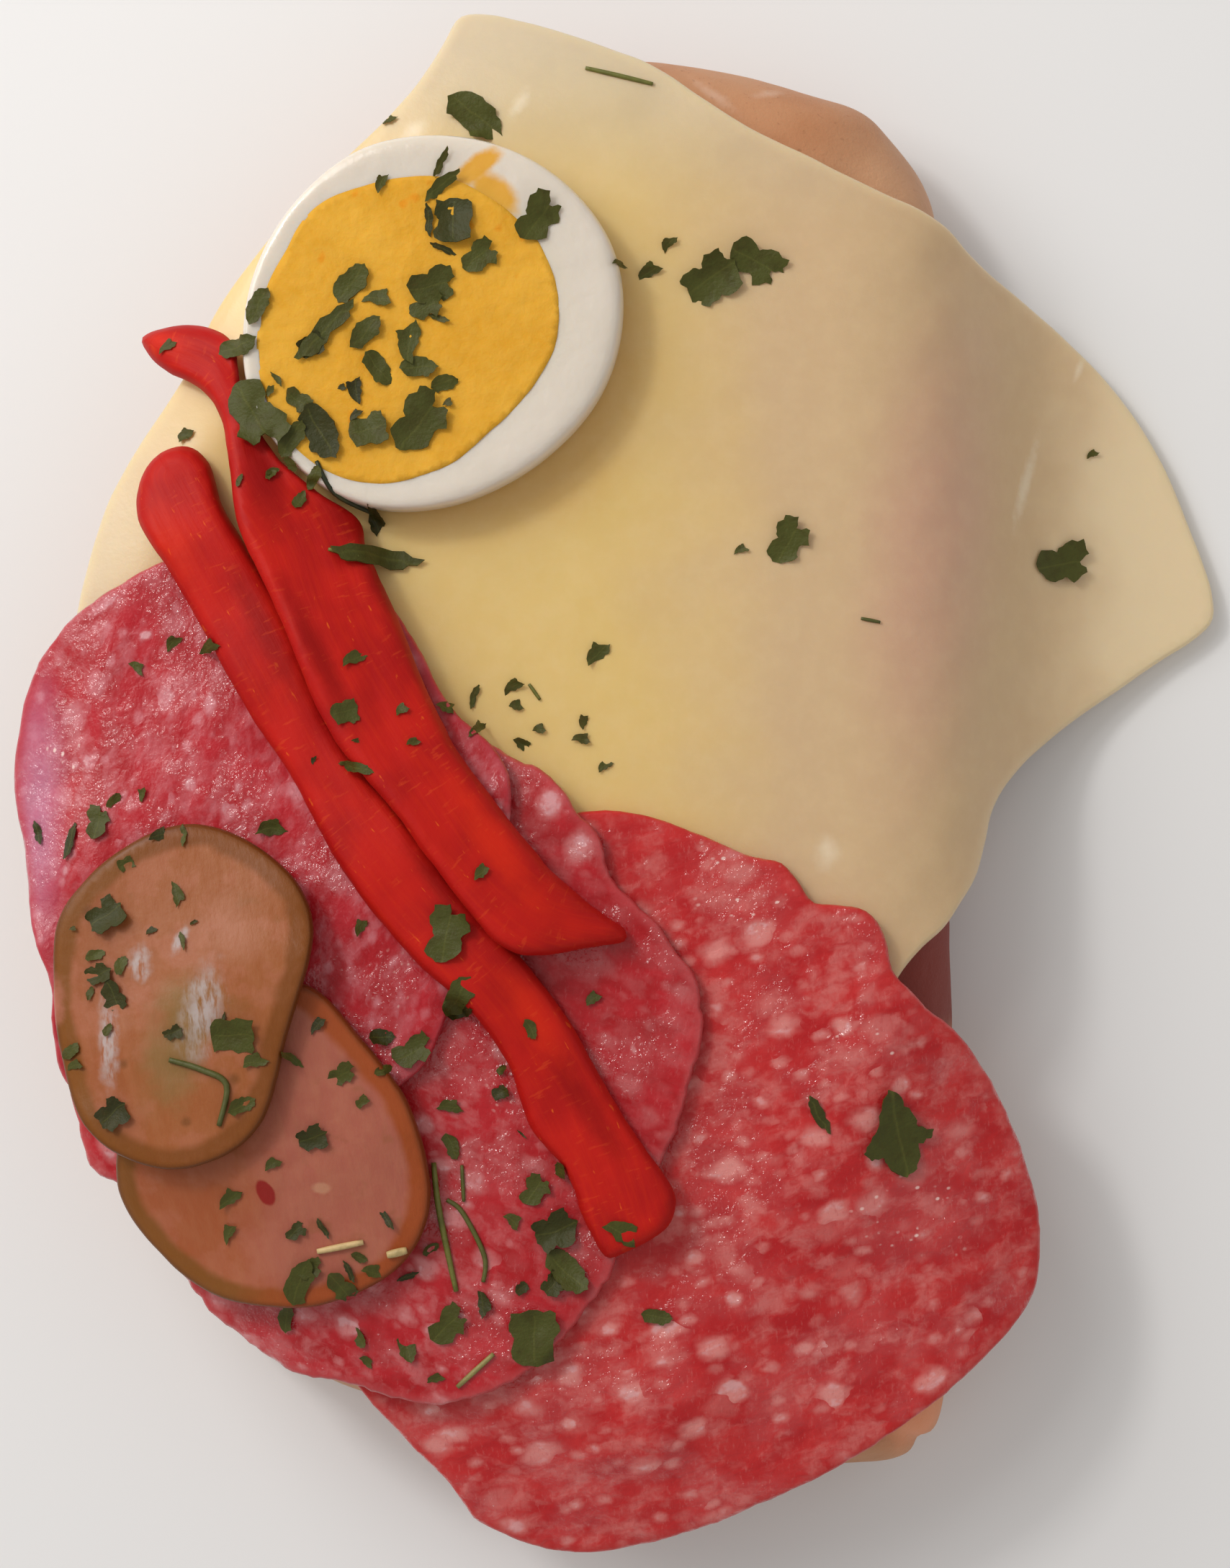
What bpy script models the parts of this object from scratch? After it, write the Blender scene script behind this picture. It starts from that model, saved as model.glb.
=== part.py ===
"""An open-faced sandwich: half a long roll, one slice of cheese, three slices of salami, a slice of
boiled egg, two strips of red pepper and two slices of pickled gherkin, with chopped parsley.

The roll's cut face is up. Each slice is laid on what is under it: a height field of everything laid
so far is kept on a grid, and a new slice settles on it with a small gap. Lengths are in millimetres
until a mesh is made, and metres in the mesh. X is to the right, Y to the far end of the roll, and
the origin is at the middle of the roll's flat underside.
"""

import math

import bmesh
import bpy
import numpy as np
from mathutils import Vector
from mathutils.geometry import delaunay_2d_cdt

MM = 0.001
GAP = 0.34
CELL = 1.25
GRID_X = np.arange(-66.0, 88.0, CELL)
GRID_Y = np.arange(-96.0, 96.0, CELL)
X, Y = np.meshgrid(GRID_X, GRID_Y)

ROLL_HEIGHT = 20.0
ROLL_WIDEST_HEIGHT = 9.0
ROLL_CROWN = 0.5
ROLL_POINTS = 96
ROLL_OUTLINE = (
    (11.6, 79.1), (25.8, 76.9), (36.4, 73.8), (39.8, 72.1), (41.2, 69.2), (44.7, 65.0),
    (45.8, 59.0), (46.4, 21.0), (47.4, -24.0), (47.4, -55.0), (46.7, -71.5), (45.0, -75.4),
    (43.4, -76.4), (42.2, -78.3), (36.5, -77.8), (21.0, -78.8), (2.0, -76.3), (-15.8, -71.1),
    (-32.0, -63.4), (-43.0, -51.0), (-48.4, -33.6), (-49.6, -11.0), (-47.6, 9.0),
    (-44.2, 22.0), (-38.6, 34.0), (-31.4, 46.5), (-23.4, 57.5), (-15.0, 67.0), (-8.4, 74.2),
    (0.6, 78.2),
)
ROLL_MIDDLE = (-1.1, 0.2)
RIM_SCALE = (0.825, 0.895)
RIM_MIDDLE = (-4.0, -0.3)
UNDERSIDE_SCALE = (0.74, 0.84)

CHEESE_THICKNESS = 2.4
CHEESE_OUTLINE = (
    (-9.1, 79.2), (-7.7, 81.9), (-5.2, 82.5), (2.5, 80.4), (9.6, 77.8), (14.1, 75.8),
    (24.0, 69.2), (35.2, 63.8), (44.5, 59.7), (49.4, 55.8), (57.2, 50.9), (64.9, 44.3),
    (70.1, 37.5), (74.0, 29.6), (77.4, 20.0), (77.6, 16.6), (75.9, 14.6), (69.6, 10.6),
    (58.6, 3.1), (53.7, -1.5), (51.1, -5.6), (49.4, -11.6), (44.6, -18.6), (40.5, -22.6),
    (30.3, -42.0), (15.5, -65.5), (10.0, -68.2), (-20.6, -51.0), (-47.6, -24.0),
    (-50.8, -16.4), (-51.2, -6.9), (-50.4, 6.6), (-49.0, 16.9), (-47.5, 23.5),
    (-45.4, 29.7), (-41.6, 36.0), (-37.5, 42.2), (-34.0, 49.4), (-30.2, 54.9),
    (-23.3, 63.1), (-18.6, 67.2), (-13.2, 72.7),
)
CHEESE_FALL_TO_TABLE = ((0, 0), (4, 0.8), (8, 3.2), (12, 7.4), (16, 12.2), (20, 16.0),
                        (24, 18.4), (28, 19.5), (34, 19.9), (60, 19.9))
CHEESE_DROOP = 0.026
TABLE_SIDE_STARTS = 20.0
TABLE_SIDE_FULL = 44.0

SALAMI_THICKNESS = 1.5
SALAMI_WAVE_HEIGHT = 0.5
SALAMI_WAVE_LENGTH = 34.0
LOWEST_SALAMI_OUTLINE = (
    (5.7, -5.1), (14.9, -6.0), (23.1, -9.4), (28.8, -11.1), (29.8, -14.3), (36.2, -15.5),
    (38.6, -18.4), (39.2, -21.8), (43.7, -26.6), (47.4, -29.9), (51.7, -36.5), (55.1, -45.1),
    (56.3, -51.6), (55.8, -56.8), (53.7, -60.8), (45.6, -68.3), (34.6, -75.8), (25.6, -80.2),
    (16.7, -83.9), (5.3, -86.1), (-3.2, -83.8), (-7.2, -81.0), (-7.9, -78.9), (-13.9, -72.6),
    (-19.6, -65.2), (-23.4, -53.4), (-22.7, -38.6), (-16.5, -22.3), (-6.4, -10.7),
)
MIDDLE_SALAMI_OUTLINE = (
    (-1.5, 0.8), (3.0, -1.3), (4.9, -4.6), (7.5, -6.6), (8.3, -9.8), (9.4, -12.6),
    (13.4, -16.4), (16.4, -20.2), (18.3, -23.2), (18.9, -28.7), (16.9, -36.6), (14.5, -42.5),
    (10.1, -52.2), (7.2, -57.4), (1.5, -63.8), (-2.6, -66.6), (-10.7, -68.8), (-19.6, -66.5),
    (-25.8, -65.3), (-33.1, -60.4), (-36.7, -56.2), (-44.5, -45.4), (-47.3, -44.0),
    (-49.2, -37.5), (-50.4, -29.6), (-48.9, -17.8), (-39.5, -5.2), (-25.6, 4.8), (-13.2, 7.5),
)
HIGHEST_SALAMI_OUTLINE = (
    (-38.6, 22.1), (-30.9, 22.9), (-23.2, 22.2), (-16.3, 18.7), (-12.0, 13.3), (-8.5, 6.8),
    (-3.1, 1.4), (-1.5, -2.9), (-2.4, -9.8), (-5.1, -19.1), (-8.1, -25.6), (-10.2, -31.0),
    (-13.7, -34.4), (-20.1, -39.1), (-27.1, -41.1), (-37.1, -40.7), (-45.5, -37.0),
    (-49.5, -34.6), (-50.9, -29.0), (-51.0, -23.4), (-53.0, -18.4), (-54.4, -9.1),
    (-55.8, -1.7), (-55.1, 4.8), (-53.6, 9.7), (-51.2, 13.6), (-48.2, 16.7), (-43.1, 19.9),
)
LOWEST_SALAMI_DROOP = 0.013
MIDDLE_SALAMI_DROOP = 0.022
HIGHEST_SALAMI_DROOP = 0.034
STIFF_DROOP = 0.014
MOST_DROOP = 14.0

EGG_MIDDLE = (-9.8, 47.0)
EGG_HEIGHT = 5.4
EGG_POINTS = 64
EGG_OUTER_RADII = (20.1, 21.0, 20.8, 20.6, 20.4, 20.6, 19.9, 20.0, 20.4, 21.3, 21.1, 20.9,
                   19.5, 18.5, 18.4, 19.3)
YOLK_RADII = (13.1, 13.5, 14.0, 14.5, 15.6, 16.0, 17.5, 17.5, 18.4, 19.5, 19.6, 18.3,
              15.4, 12.8, 12.0, 12.3)
YOLK_JOIN = 0.16

PEPPER_THICKNESS = 3.2
PEPPER_EDGE = 3.4
LONG_PEPPER_OUTLINE = (
    (-42.0, 29.3), (-41.4, 31.8), (-38.9, 34.0), (-35.6, 34.2), (-34.0, 31.9), (-32.4, 27.3),
    (-30.1, 23.6), (-25.4, 15.6), (-20.2, 3.6), (-12.9, -5.5), (-5.4, -15.2), (-0.8, -20.1),
    (5.1, -28.0), (9.4, -35.9), (14.4, -43.2), (16.0, -45.9), (14.8, -49.9), (11.6, -51.2),
    (9.2, -53.0), (6.2, -48.6), (4.3, -43.4), (0.4, -38.5), (-1.8, -32.2), (-5.7, -26.3),
    (-12.3, -20.3), (-19.4, -11.3), (-25.0, -1.3), (-30.0, 6.3), (-33.9, 13.3),
    (-38.4, 21.1), (-41.5, 25.6),
)
HOOKED_PEPPER_OUTLINE = (
    (-42.0, 46.5), (-38.2, 47.7), (-34.6, 47.4), (-32.2, 46.2), (-31.1, 44.2), (-30.5, 40.2),
    (-28.9, 36.3), (-26.2, 32.6), (-21.6, 28.7), (-18.3, 27.0), (-17.8, 25.4), (-16.8, 22.4),
    (-13.9, 16.2), (-11.1, 9.4), (-7.4, 1.9), (-1.4, -6.2), (3.3, -11.7), (9.4, -16.8), (11.6, -18.4),
    (8.2, -19.2), (-0.6, -20.0), (-6.0, -15.3), (-13.3, -5.6), (-20.7, 3.6), (-26.1, 15.8),
    (-30.2, 24.4), (-31.2, 28.2), (-31.8, 32.3), (-32.8, 37.3), (-35.3, 40.6), (-39.4, 42.8),
    (-41.3, 44.7),
)

GHERKIN_THICKNESS = 2.7
LOWER_GHERKIN_OUTLINE = (
    (-23.2, -23.4), (-17.5, -29.0), (-12.5, -35.8), (-10.2, -44.3), (-11.1, -50.0),
    (-14.6, -54.4), (-21.3, -57.4), (-27.2, -57.8), (-33.3, -56.9), (-38.2, -53.6),
    (-42.4, -48.8), (-43.9, -44.2), (-42.5, -36.6), (-38.3, -28.9), (-31.4, -24.0),
)
UPPER_GHERKIN_OUTLINE = (
    (-33.2, -6.5), (-27.8, -9.1), (-23.6, -13.3), (-22.4, -19.0), (-24.9, -28.0),
    (-27.4, -37.0), (-31.3, -41.0), (-37.2, -42.7), (-43.0, -41.2), (-46.8, -37.9),
    (-49.2, -31.8), (-50.3, -24.0), (-49.7, -16.2), (-45.8, -11.1), (-42.0, -8.3), (-37.5, -6.5),
)

EDGE_STEP = 0.64

LEAF_THICKNESS = 0.62
LEAF_SUNK = 0.42
LEAF_CURL = 0.30
LEAF_SHAPE = (1.0, 0.58, 0.86, 0.5, 0.92, 0.56, 0.8, 0.62)
LEAF_SLENDER = 0.72
STEM_SLENDER = 0.16

# Each leaf is (x, y, length, turn in degrees); a turn ending in .5 marks a bare stem.
LEAVES = {
    "cheese": (
        (-6.0, 70.5, 7.0, -35), (10.0, 74.5, 7.5, -10.5), (19.0, 53.0, 6.0, 70),
        (24.5, 54.5, 5.5, 40), (13.5, 53.5, 4.5, 0), (28.5, 24.0, 5.0, 80), (58.0, 21.5, 6.0, 5),
        (7.5, 12.0, 3.6, 90), (-2.0, 8.6, 3.6, 75), (1.5, 4.0, 4.4, 30), (-13.5, 21.5, 4.4, -20),
    ),
    "egg_white": ((1.3, 58.8, 4.6, 60), (7.6, 45.0, 3.0, 20)),
    "egg_yolk": (
        (-7.5, 58.0, 5.0, 90), (-5.0, 53.0, 4.0, 45), (-18.5, 51.5, 4.0, 60),
        (-10.5, 51.0, 5.5, 10), (-16.0, 47.0, 5.0, 50), (-23.0, 44.5, 4.0, 40),
        (-11.5, 42.5, 4.5, -60), (-10.6, 37.0, 5.0, 50), (-22.0, 37.2, 6.6, -50),
    ),
    "pepper_hooked": ((-31.0, 37.4, 3.4, 80), (-4.5, -11.5, 3.5, 0), (-19.0, 7.5, 3.0, 20)),
    "pepper_long": ((-7.6, -18.6, 5.0, 75), (-4.6, -23.4, 4.0, 80), (10.0, -49.4, 3.0, -20)),
    "salami_highest": ((-46.0, -5.6, 3.2, 50), (-27.5, -5.4, 3.5, 20), (-12.6, -28.4, 3.4, 25)),
    "salami_middle": (
        (0.6, -46.4, 4.0, 50), (2.6, -50.4, 4.6, 30), (2.2, -55.4, 5.0, -45),
        (-8.5, -60.0, 5.0, 70), (-0.6, -60.8, 6.0, 20), (-7.6, -47.0, 9.0, -80.5),
    ),
    "salami_lowest": ((40.0, -39.5, 9.5, 75), (31.5, -37.5, 4.5, -60), (15.0, -59.0, 3.2, -10)),
    "gherkin_upper": (
        (-44.5, -16.0, 4.5, 45), (-31.0, -28.5, 4.5, -20), (-30.4, -36.0, 4.0, 10),
        (-45.6, -22.0, 4.0, 80), (-35.0, -32.0, 7.0, -30.5),
    ),
    "gherkin_lower": (
        (-21.4, -39.5, 3.5, 30), (-23.5, -53.6, 4.0, 60), (-18.6, -52.6, 4.0, 40),
    ),
}


def clear_scene():
    for obj in list(bpy.data.objects):
        bpy.data.objects.remove(obj)


def material(name, colour, roughness, coat=0.0):
    made = bpy.data.materials.new(name)
    made.use_nodes = True
    shader = made.node_tree.nodes["Principled BSDF"]
    shader.inputs["Base Color"].default_value = (*colour, 1.0)
    shader.inputs["Roughness"].default_value = roughness
    shader.inputs["Metallic"].default_value = 0.0
    shader.inputs["Coat Weight"].default_value = coat
    return made


def smooth_loop(corners, spacing):
    """A closed smooth curve through the corners, as points about evenly spaced along it."""
    count = len(corners)
    corners = np.array(corners, float)
    steps = 16
    fine = []
    for i in range(count):
        before, start, end, after = (corners[(i + k) % count] for k in (-1, 0, 1, 2))
        for step in range(steps):
            t = step / steps
            fine.append(0.5 * (2 * start + (end - before) * t
                               + (2 * before - 5 * start + 4 * end - after) * t ** 2
                               + (3 * start - before - 3 * end + after) * t ** 3))
    fine = np.array(fine + fine[:1])
    run = np.concatenate(([0], np.cumsum(np.hypot(*np.diff(fine, axis=0).T))))
    points = max(12, round(run[-1] / spacing))
    at = np.linspace(0, run[-1], points, endpoint=False)
    loop = np.column_stack([np.interp(at, run, fine[:, 0]), np.interp(at, run, fine[:, 1])])
    return loop if area(loop) > 0 else loop[::-1]


def area(loop):
    x, y = loop.T
    return 0.5 * float(np.sum(x * np.roll(y, -1) - np.roll(x, -1) * y))


def depth_inside(loop, x, y):
    """How far each point is inside the loop; negative outside."""
    nearest = np.full(np.shape(x), np.inf)
    inside = np.zeros(np.shape(x), bool)
    for (x0, y0), (x1, y1) in zip(loop, np.roll(loop, -1, axis=0)):
        dx, dy = x1 - x0, y1 - y0
        along = np.clip(((x - x0) * dx + (y - y0) * dy) / (dx * dx + dy * dy), 0, 1)
        nearest = np.minimum(nearest, np.hypot(x - x0 - along * dx, y - y0 - along * dy))
        if y0 != y1:
            crossing = x0 + (y - y0) * dx / dy
            inside ^= ((y0 > y) != (y1 > y)) & (x < crossing)
    return np.where(inside, nearest, -nearest)


def moved_in(loop, distance):
    """The loop moved inwards by a distance along its own normals."""
    tangent = np.roll(loop, -1, axis=0) - np.roll(loop, 1, axis=0)
    tangent /= np.linalg.norm(tangent, axis=1)[:, None]
    return loop + distance * np.column_stack([-tangent[:, 1], tangent[:, 0]])


def read_grid(field, x, y):
    """A grid's value at any points, in between its cells."""
    u = np.clip((np.asarray(x, float) - GRID_X[0]) / CELL, 0, len(GRID_X) - 1.001)
    v = np.clip((np.asarray(y, float) - GRID_Y[0]) / CELL, 0, len(GRID_Y) - 1.001)
    i, j = u.astype(int), v.astype(int)
    s, t = u - i, v - j
    low = field[j, i] * (1 - s) + field[j, i + 1] * s
    high = field[j + 1, i] * (1 - s) + field[j + 1, i + 1] * s
    return low * (1 - t) + high * t


def neighbours(field):
    padded = np.pad(field, 1, mode="edge")
    return padded[:-2, 1:-1], padded[2:, 1:-1], padded[1:-1, :-2], padded[1:-1, 2:]


def spread(field, cells):
    """Each cell takes the highest value that is within some cells of it."""
    for _ in range(cells):
        field = np.maximum.reduce([field, *neighbours(field)])
    return field


def settle(form, ground, loop, passes):
    """The underside of a slice laid on the ground: it takes its own form where it hangs free, clears
    what is under it, and bridges the hollows between."""
    over = depth_inside(loop, X, Y) > -2 * CELL
    rest = np.where(over, np.maximum(spread(ground, 2) + GAP, form), form)
    sheet = rest.copy()
    for _ in range(passes):
        sheet = np.maximum(rest, sum(neighbours(sheet)) / 4)
    return sheet


def add_to_ground(ground, loop, top):
    under_it = depth_inside(loop, X, Y) > -CELL
    return np.where(under_it, np.maximum(ground, top), ground)


def waves(height, length, shift):
    """Low soft waves that only lift a slice."""
    turn = 2 * math.pi / length
    return height * (1 + np.sin(turn * (X + 0.6 * Y) + shift) * np.cos(turn * (0.8 * Y - 0.3 * X))) / 2


def steepness(field):
    dy, dx = np.gradient(field, CELL)
    return np.minimum(np.sqrt(1 + dx ** 2 + dy ** 2), 1.5)


def make_object(name, vertices, faces, look):
    mesh = bpy.data.meshes.new(name)
    mesh.from_pydata([tuple(float(c) * MM for c in v) for v in vertices], [], faces)
    mesh.validate()
    body = bmesh.new()
    body.from_mesh(mesh)
    bmesh.ops.triangulate(body, faces=body.faces)
    bmesh.ops.recalc_face_normals(body, faces=body.faces)
    body.to_mesh(mesh)
    body.free()
    mesh.shade_smooth()
    mesh.set_sharp_from_angle(angle=math.radians(50))
    mesh.materials.append(look)
    made = bpy.data.objects.new(name, mesh)
    bpy.context.scene.collection.objects.link(made)
    return made


def filled(loop, spacing):
    """Points over the area of a loop, the loop first, and the triangles between them."""
    rows = np.arange(loop[:, 1].min(), loop[:, 1].max(), spacing * math.sqrt(3) / 2)
    inner = []
    for k, y in enumerate(rows):
        across = np.arange(loop[:, 0].min() + spacing * 0.5 * (k % 2), loop[:, 0].max(), spacing)
        inner.append(np.column_stack([across, np.full(len(across), y)]))
    inner = np.concatenate(inner)
    inner = inner[depth_inside(loop, inner[:, 0], inner[:, 1]) > 0.62 * spacing]
    points = np.concatenate([loop, inner])
    found = delaunay_2d_cdt([Vector(p) for p in points], [], [list(range(len(loop)))], 1, 1e-6)
    return points, [tuple(face) for face in found[2]]


def slice_mesh(name, loop, under, thickness, spacing, rounding, look):
    """A slice between its underside and its top, with a rounded edge all round."""
    inner_loop = moved_in(loop, rounding)
    points, triangles = filled(inner_loop, spacing)
    edge_count, count = len(loop), len(points)
    low = read_grid(under, points[:, 0], points[:, 1])
    high = low + read_grid(thickness, points[:, 0], points[:, 1])
    edge_low = read_grid(under, loop[:, 0], loop[:, 1])
    edge_middle = edge_low + 0.5 * read_grid(thickness, inner_loop[:, 0], inner_loop[:, 1])
    vertices = [(*p, z) for p, z in zip(points, high)]
    vertices += [(*p, z) for p, z in zip(points, low)]
    vertices += [(*p, z) for p, z in zip(loop, edge_middle)]
    faces = list(triangles)
    faces += [tuple(count + i for i in reversed(face)) for face in triangles]
    for i in range(edge_count):
        j = (i + 1) % edge_count
        faces.append((i, 2 * count + i, 2 * count + j, j))
        faces.append((2 * count + i, count + i, count + j, 2 * count + j))
    return make_object(name, vertices, faces, look)


def lofted(name, rings, look, closed_profile=False, bottom_middle=None, top_middle=None):
    """A body through rings with equal numbers of points, ended by a middle point or by itself."""
    count = len(rings[0])
    vertices = [tuple(p) for ring in rings for p in ring]
    faces = []
    bands = len(rings) if closed_profile else len(rings) - 1
    for band in range(bands):
        a, b = band * count, (band + 1) % len(rings) * count
        faces += [(a + i, a + (i + 1) % count, b + (i + 1) % count, b + i) for i in range(count)]
    if not closed_profile:
        vertices += [tuple(bottom_middle), tuple(top_middle)]
        last = (len(rings) - 1) * count
        for i in range(count):
            j = (i + 1) % count
            faces.append((j, i, len(vertices) - 2))
            faces.append((last + i, last + j, len(vertices) - 1))
    return make_object(name, vertices, faces, look)


def scaled_outline(outline, scale, middle):
    return (outline - np.array(ROLL_MIDDLE)) * np.array(scale) + np.array(middle)


def roll_outlines():
    length = smooth_loop(ROLL_OUTLINE, 1.0)
    around = sum(math.dist(a, b) for a, b in zip(length, np.roll(length, -1, axis=0)))
    outer = smooth_loop(ROLL_OUTLINE, around / ROLL_POINTS)
    rim = scaled_outline(outer, RIM_SCALE, RIM_MIDDLE)
    underside = scaled_outline(outer, UNDERSIDE_SCALE, ROLL_MIDDLE)
    return outer, rim, underside


def make_roll(look):
    """Half a roll: flat underside, rounded crust, and a cut face on top that is a little crowned."""
    outer, rim, underside = roll_outlines()

    def ring(shape, z):
        return np.column_stack([shape, np.full(len(shape), z)])

    rings = [ring(underside, 0.0)]
    for angle in (25, 50, 72):
        out = math.sin(math.radians(angle))
        up = 1 - math.cos(math.radians(angle))
        rings.append(ring(underside + (outer - underside) * out, ROLL_WIDEST_HEIGHT * up))
    rise = ROLL_HEIGHT - ROLL_WIDEST_HEIGHT
    for angle in (0, 26, 50, 72, 90):
        inward = 1 - math.cos(math.radians(angle))
        up = math.sin(math.radians(angle))
        rings.append(ring(outer + (rim - outer) * inward, ROLL_WIDEST_HEIGHT + rise * up))
    for scale in (0.8, 0.55, 0.3):
        shape = (rim - np.array(RIM_MIDDLE)) * scale + np.array(RIM_MIDDLE)
        rings.append(ring(shape, ROLL_HEIGHT + ROLL_CROWN * (1 - scale ** 2)))
    return lofted("bread_roll", rings, look, False,
                  (*ROLL_MIDDLE, 0.0), (*RIM_MIDDLE, ROLL_HEIGHT + ROLL_CROWN))


def roll_height_field():
    """The height of the roll's upper side over the grid, and the distance outside its cut rim."""
    outer, rim, _ = roll_outlines()
    outside_rim = np.maximum(-depth_inside(rim, X, Y), 0.0)
    inside_outer = depth_inside(outer, X, Y)
    width = outside_rim + np.maximum(inside_outer, 0.0)
    share = np.clip(outside_rim / np.maximum(width, 0.1), 0.0, 1.0)
    shoulder = np.sqrt(np.maximum(1 - share ** 2, 0.0))
    rise = ROLL_HEIGHT - ROLL_WIDEST_HEIGHT
    top = ROLL_WIDEST_HEIGHT + rise * shoulder
    top = np.where(outside_rim > 0, top, ROLL_HEIGHT + ROLL_CROWN)
    return np.where(inside_outer > -CELL, top, 0.0), outside_rim


def smooth_step(value, start, full):
    t = np.clip((value - start) / (full - start), 0.0, 1.0)
    return t * t * (3 - 2 * t)


def cheese_form(outside_rim):
    """The cheese bends down past the rim: a little at most sides, right to the table at the right."""
    knees, drops = zip(*CHEESE_FALL_TO_TABLE)
    to_table = np.interp(outside_rim, knees, drops)
    for _ in range(6):
        to_table = (to_table + sum(neighbours(to_table))) / 5
    droop = CHEESE_DROOP * outside_rim ** 2
    share = smooth_step(X, TABLE_SIDE_STARTS, TABLE_SIDE_FULL)
    fall = np.minimum(droop * (1 - share) + to_table * share, CHEESE_FALL_TO_TABLE[-1][1])
    return ROLL_HEIGHT + GAP - fall


def egg_loop(radii, extra):
    """A round outline from radii at even angles, the first along +X."""
    angles = np.linspace(0, 2 * math.pi, EGG_POINTS, endpoint=False)
    steps = np.arange(-2, len(radii) + 3) * 2 * math.pi / len(radii)
    wrapped = np.array([radii[k % len(radii)] for k in range(-2, len(radii) + 3)], float)
    radius = np.interp(angles, steps, wrapped)
    for _ in range(3):
        radius = (np.roll(radius, 1) + 2 * radius + np.roll(radius, -1)) / 4
    radius = radius + extra
    return np.column_stack([EGG_MIDDLE[0] + radius * np.cos(angles),
                            EGG_MIDDLE[1] + radius * np.sin(angles)])


def egg_rest_height(ground):
    """An egg slice is stiff: it lies level on the highest point of the cheese below it."""
    over = depth_inside(egg_loop(EGG_OUTER_RADII, 0.0), X, Y) > -CELL
    return float(ground[over].max()) + GAP


def make_egg(rest, white_look, yolk_look):
    """The white is a ring with a rounded rim; the yolk runs right through it."""

    inner_loop = egg_loop(YOLK_RADII, YOLK_JOIN)
    outer_loop = egg_loop(EGG_OUTER_RADII, 0.0)

    def inner(extra, z):
        loop = egg_loop(YOLK_RADII, extra)
        return np.column_stack([loop, np.full(len(loop), rest + z)])

    def across(share, z):
        loop = inner_loop + (outer_loop - inner_loop) * share
        return np.column_stack([loop, np.full(len(loop), rest + z)])

    height = EGG_HEIGHT
    white = lofted("egg_white", [
        across(0.0, 0.0), across(0.82, 0.0), across(0.95, 0.9), across(1.0, 2.6),
        across(0.96, height - 1.2), across(0.86, height - 0.3), across(0.68, height),
        across(0.12, height - 0.05), across(0.0, height - 0.3),
    ], white_look, closed_profile=True)
    yolk = lofted("egg_yolk", [
        inner(-YOLK_JOIN, 0.0), inner(-YOLK_JOIN, height - 0.4), inner(-YOLK_JOIN - 0.6, height - 0.05),
        inner(-5.0, height + 0.1), inner(-10.0, height + 0.15),
    ], yolk_look, False, (*EGG_MIDDLE, rest), (*EGG_MIDDLE, rest + height + 0.15))
    return white, yolk


def leaf(spot, top, draw, look):
    """A torn leaf or a stem: thin, wavy, sunk a little into what it lies on."""
    x, y, length, turn = spot
    is_stem = turn != int(turn)
    slender = STEM_SLENDER if is_stem else LEAF_SLENDER
    turn = math.radians(turn)
    corners = [(0.0, 0.0)]
    for k, reach in enumerate(LEAF_SHAPE):
        angle = 2 * math.pi * k / len(LEAF_SHAPE)
        reach = length / 2 * (1.0 if is_stem else reach * draw.uniform(0.85, 1.12))
        corners.append((reach * math.cos(angle), slender * reach * math.sin(angle)))
    vertices = []
    for side in (1, 0):
        for u, v in corners:
            px = x + u * math.cos(turn) - v * math.sin(turn)
            py = y + u * math.sin(turn) + v * math.cos(turn)
            curl = LEAF_CURL * (u / length * 2) ** 2 if side else 0.0
            lift = LEAF_THICKNESS + curl if side else -LEAF_SUNK
            vertices.append((px, py, float(read_grid(top, px, py)) + lift))
    count = len(corners)
    faces = []
    for k in range(1, count):
        after = k % (count - 1) + 1
        faces.append((0, k, after))
        faces.append((count, count + after, count + k))
        faces.append((k, count + k, count + after, after))
    return make_object("leaf", vertices, faces, look)


def sprinkle(piece, top, look):
    """Fuses the leaves that lie on a piece with it, in one union."""
    draw = np.random.default_rng(len(piece.name))
    group = bpy.data.collections.new("leaves")
    for spot in LEAVES[piece.name]:
        made = leaf(spot, top, draw, look)
        bpy.context.scene.collection.objects.unlink(made)
        group.objects.link(made)
    join = piece.modifiers.new("leaves", "BOOLEAN")
    join.operation = "UNION"
    join.operand_type = "COLLECTION"
    join.collection = group
    join.solver = "EXACT"
    graph = bpy.context.evaluated_depsgraph_get()
    joined = bpy.data.meshes.new_from_object(piece.evaluated_get(graph))
    piece.modifiers.clear()
    piece.data = joined
    for made in list(group.objects):
        bpy.data.objects.remove(made)
    bpy.data.collections.remove(group)


def lay_sheet(name, outline, form, ground, depth, look, spacing=5.0, rounding=0.5, passes=60):
    """Lays a slice of even thickness on the ground, and returns it, its top and the new ground."""
    loop = smooth_loop(outline, spacing * EDGE_STEP)
    under = settle(form, ground, loop, passes)
    thickness = depth * steepness(under)
    top = under + thickness
    piece = slice_mesh(name, loop, under, thickness, spacing, rounding, look)
    return piece, top, add_to_ground(ground, loop, top)


def lay_pepper(name, outline, form, ground, look):
    """Lays a pepper strip: thick along its middle, and rounded down to its edges."""
    loop = smooth_loop(outline, 2.8)
    under = settle(form, ground, loop, 120)
    depth = np.clip(depth_inside(loop, X, Y) / PEPPER_EDGE, 0.0, 1.0)
    dome = np.sqrt(np.maximum(1 - (1 - depth) ** 2, 0.0))
    thickness = PEPPER_THICKNESS * (0.36 + 0.64 * dome)
    top = under + thickness
    piece = slice_mesh(name, loop, under, thickness, 2.9, 0.6, look)
    return piece, top, add_to_ground(ground, loop, top)


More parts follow.
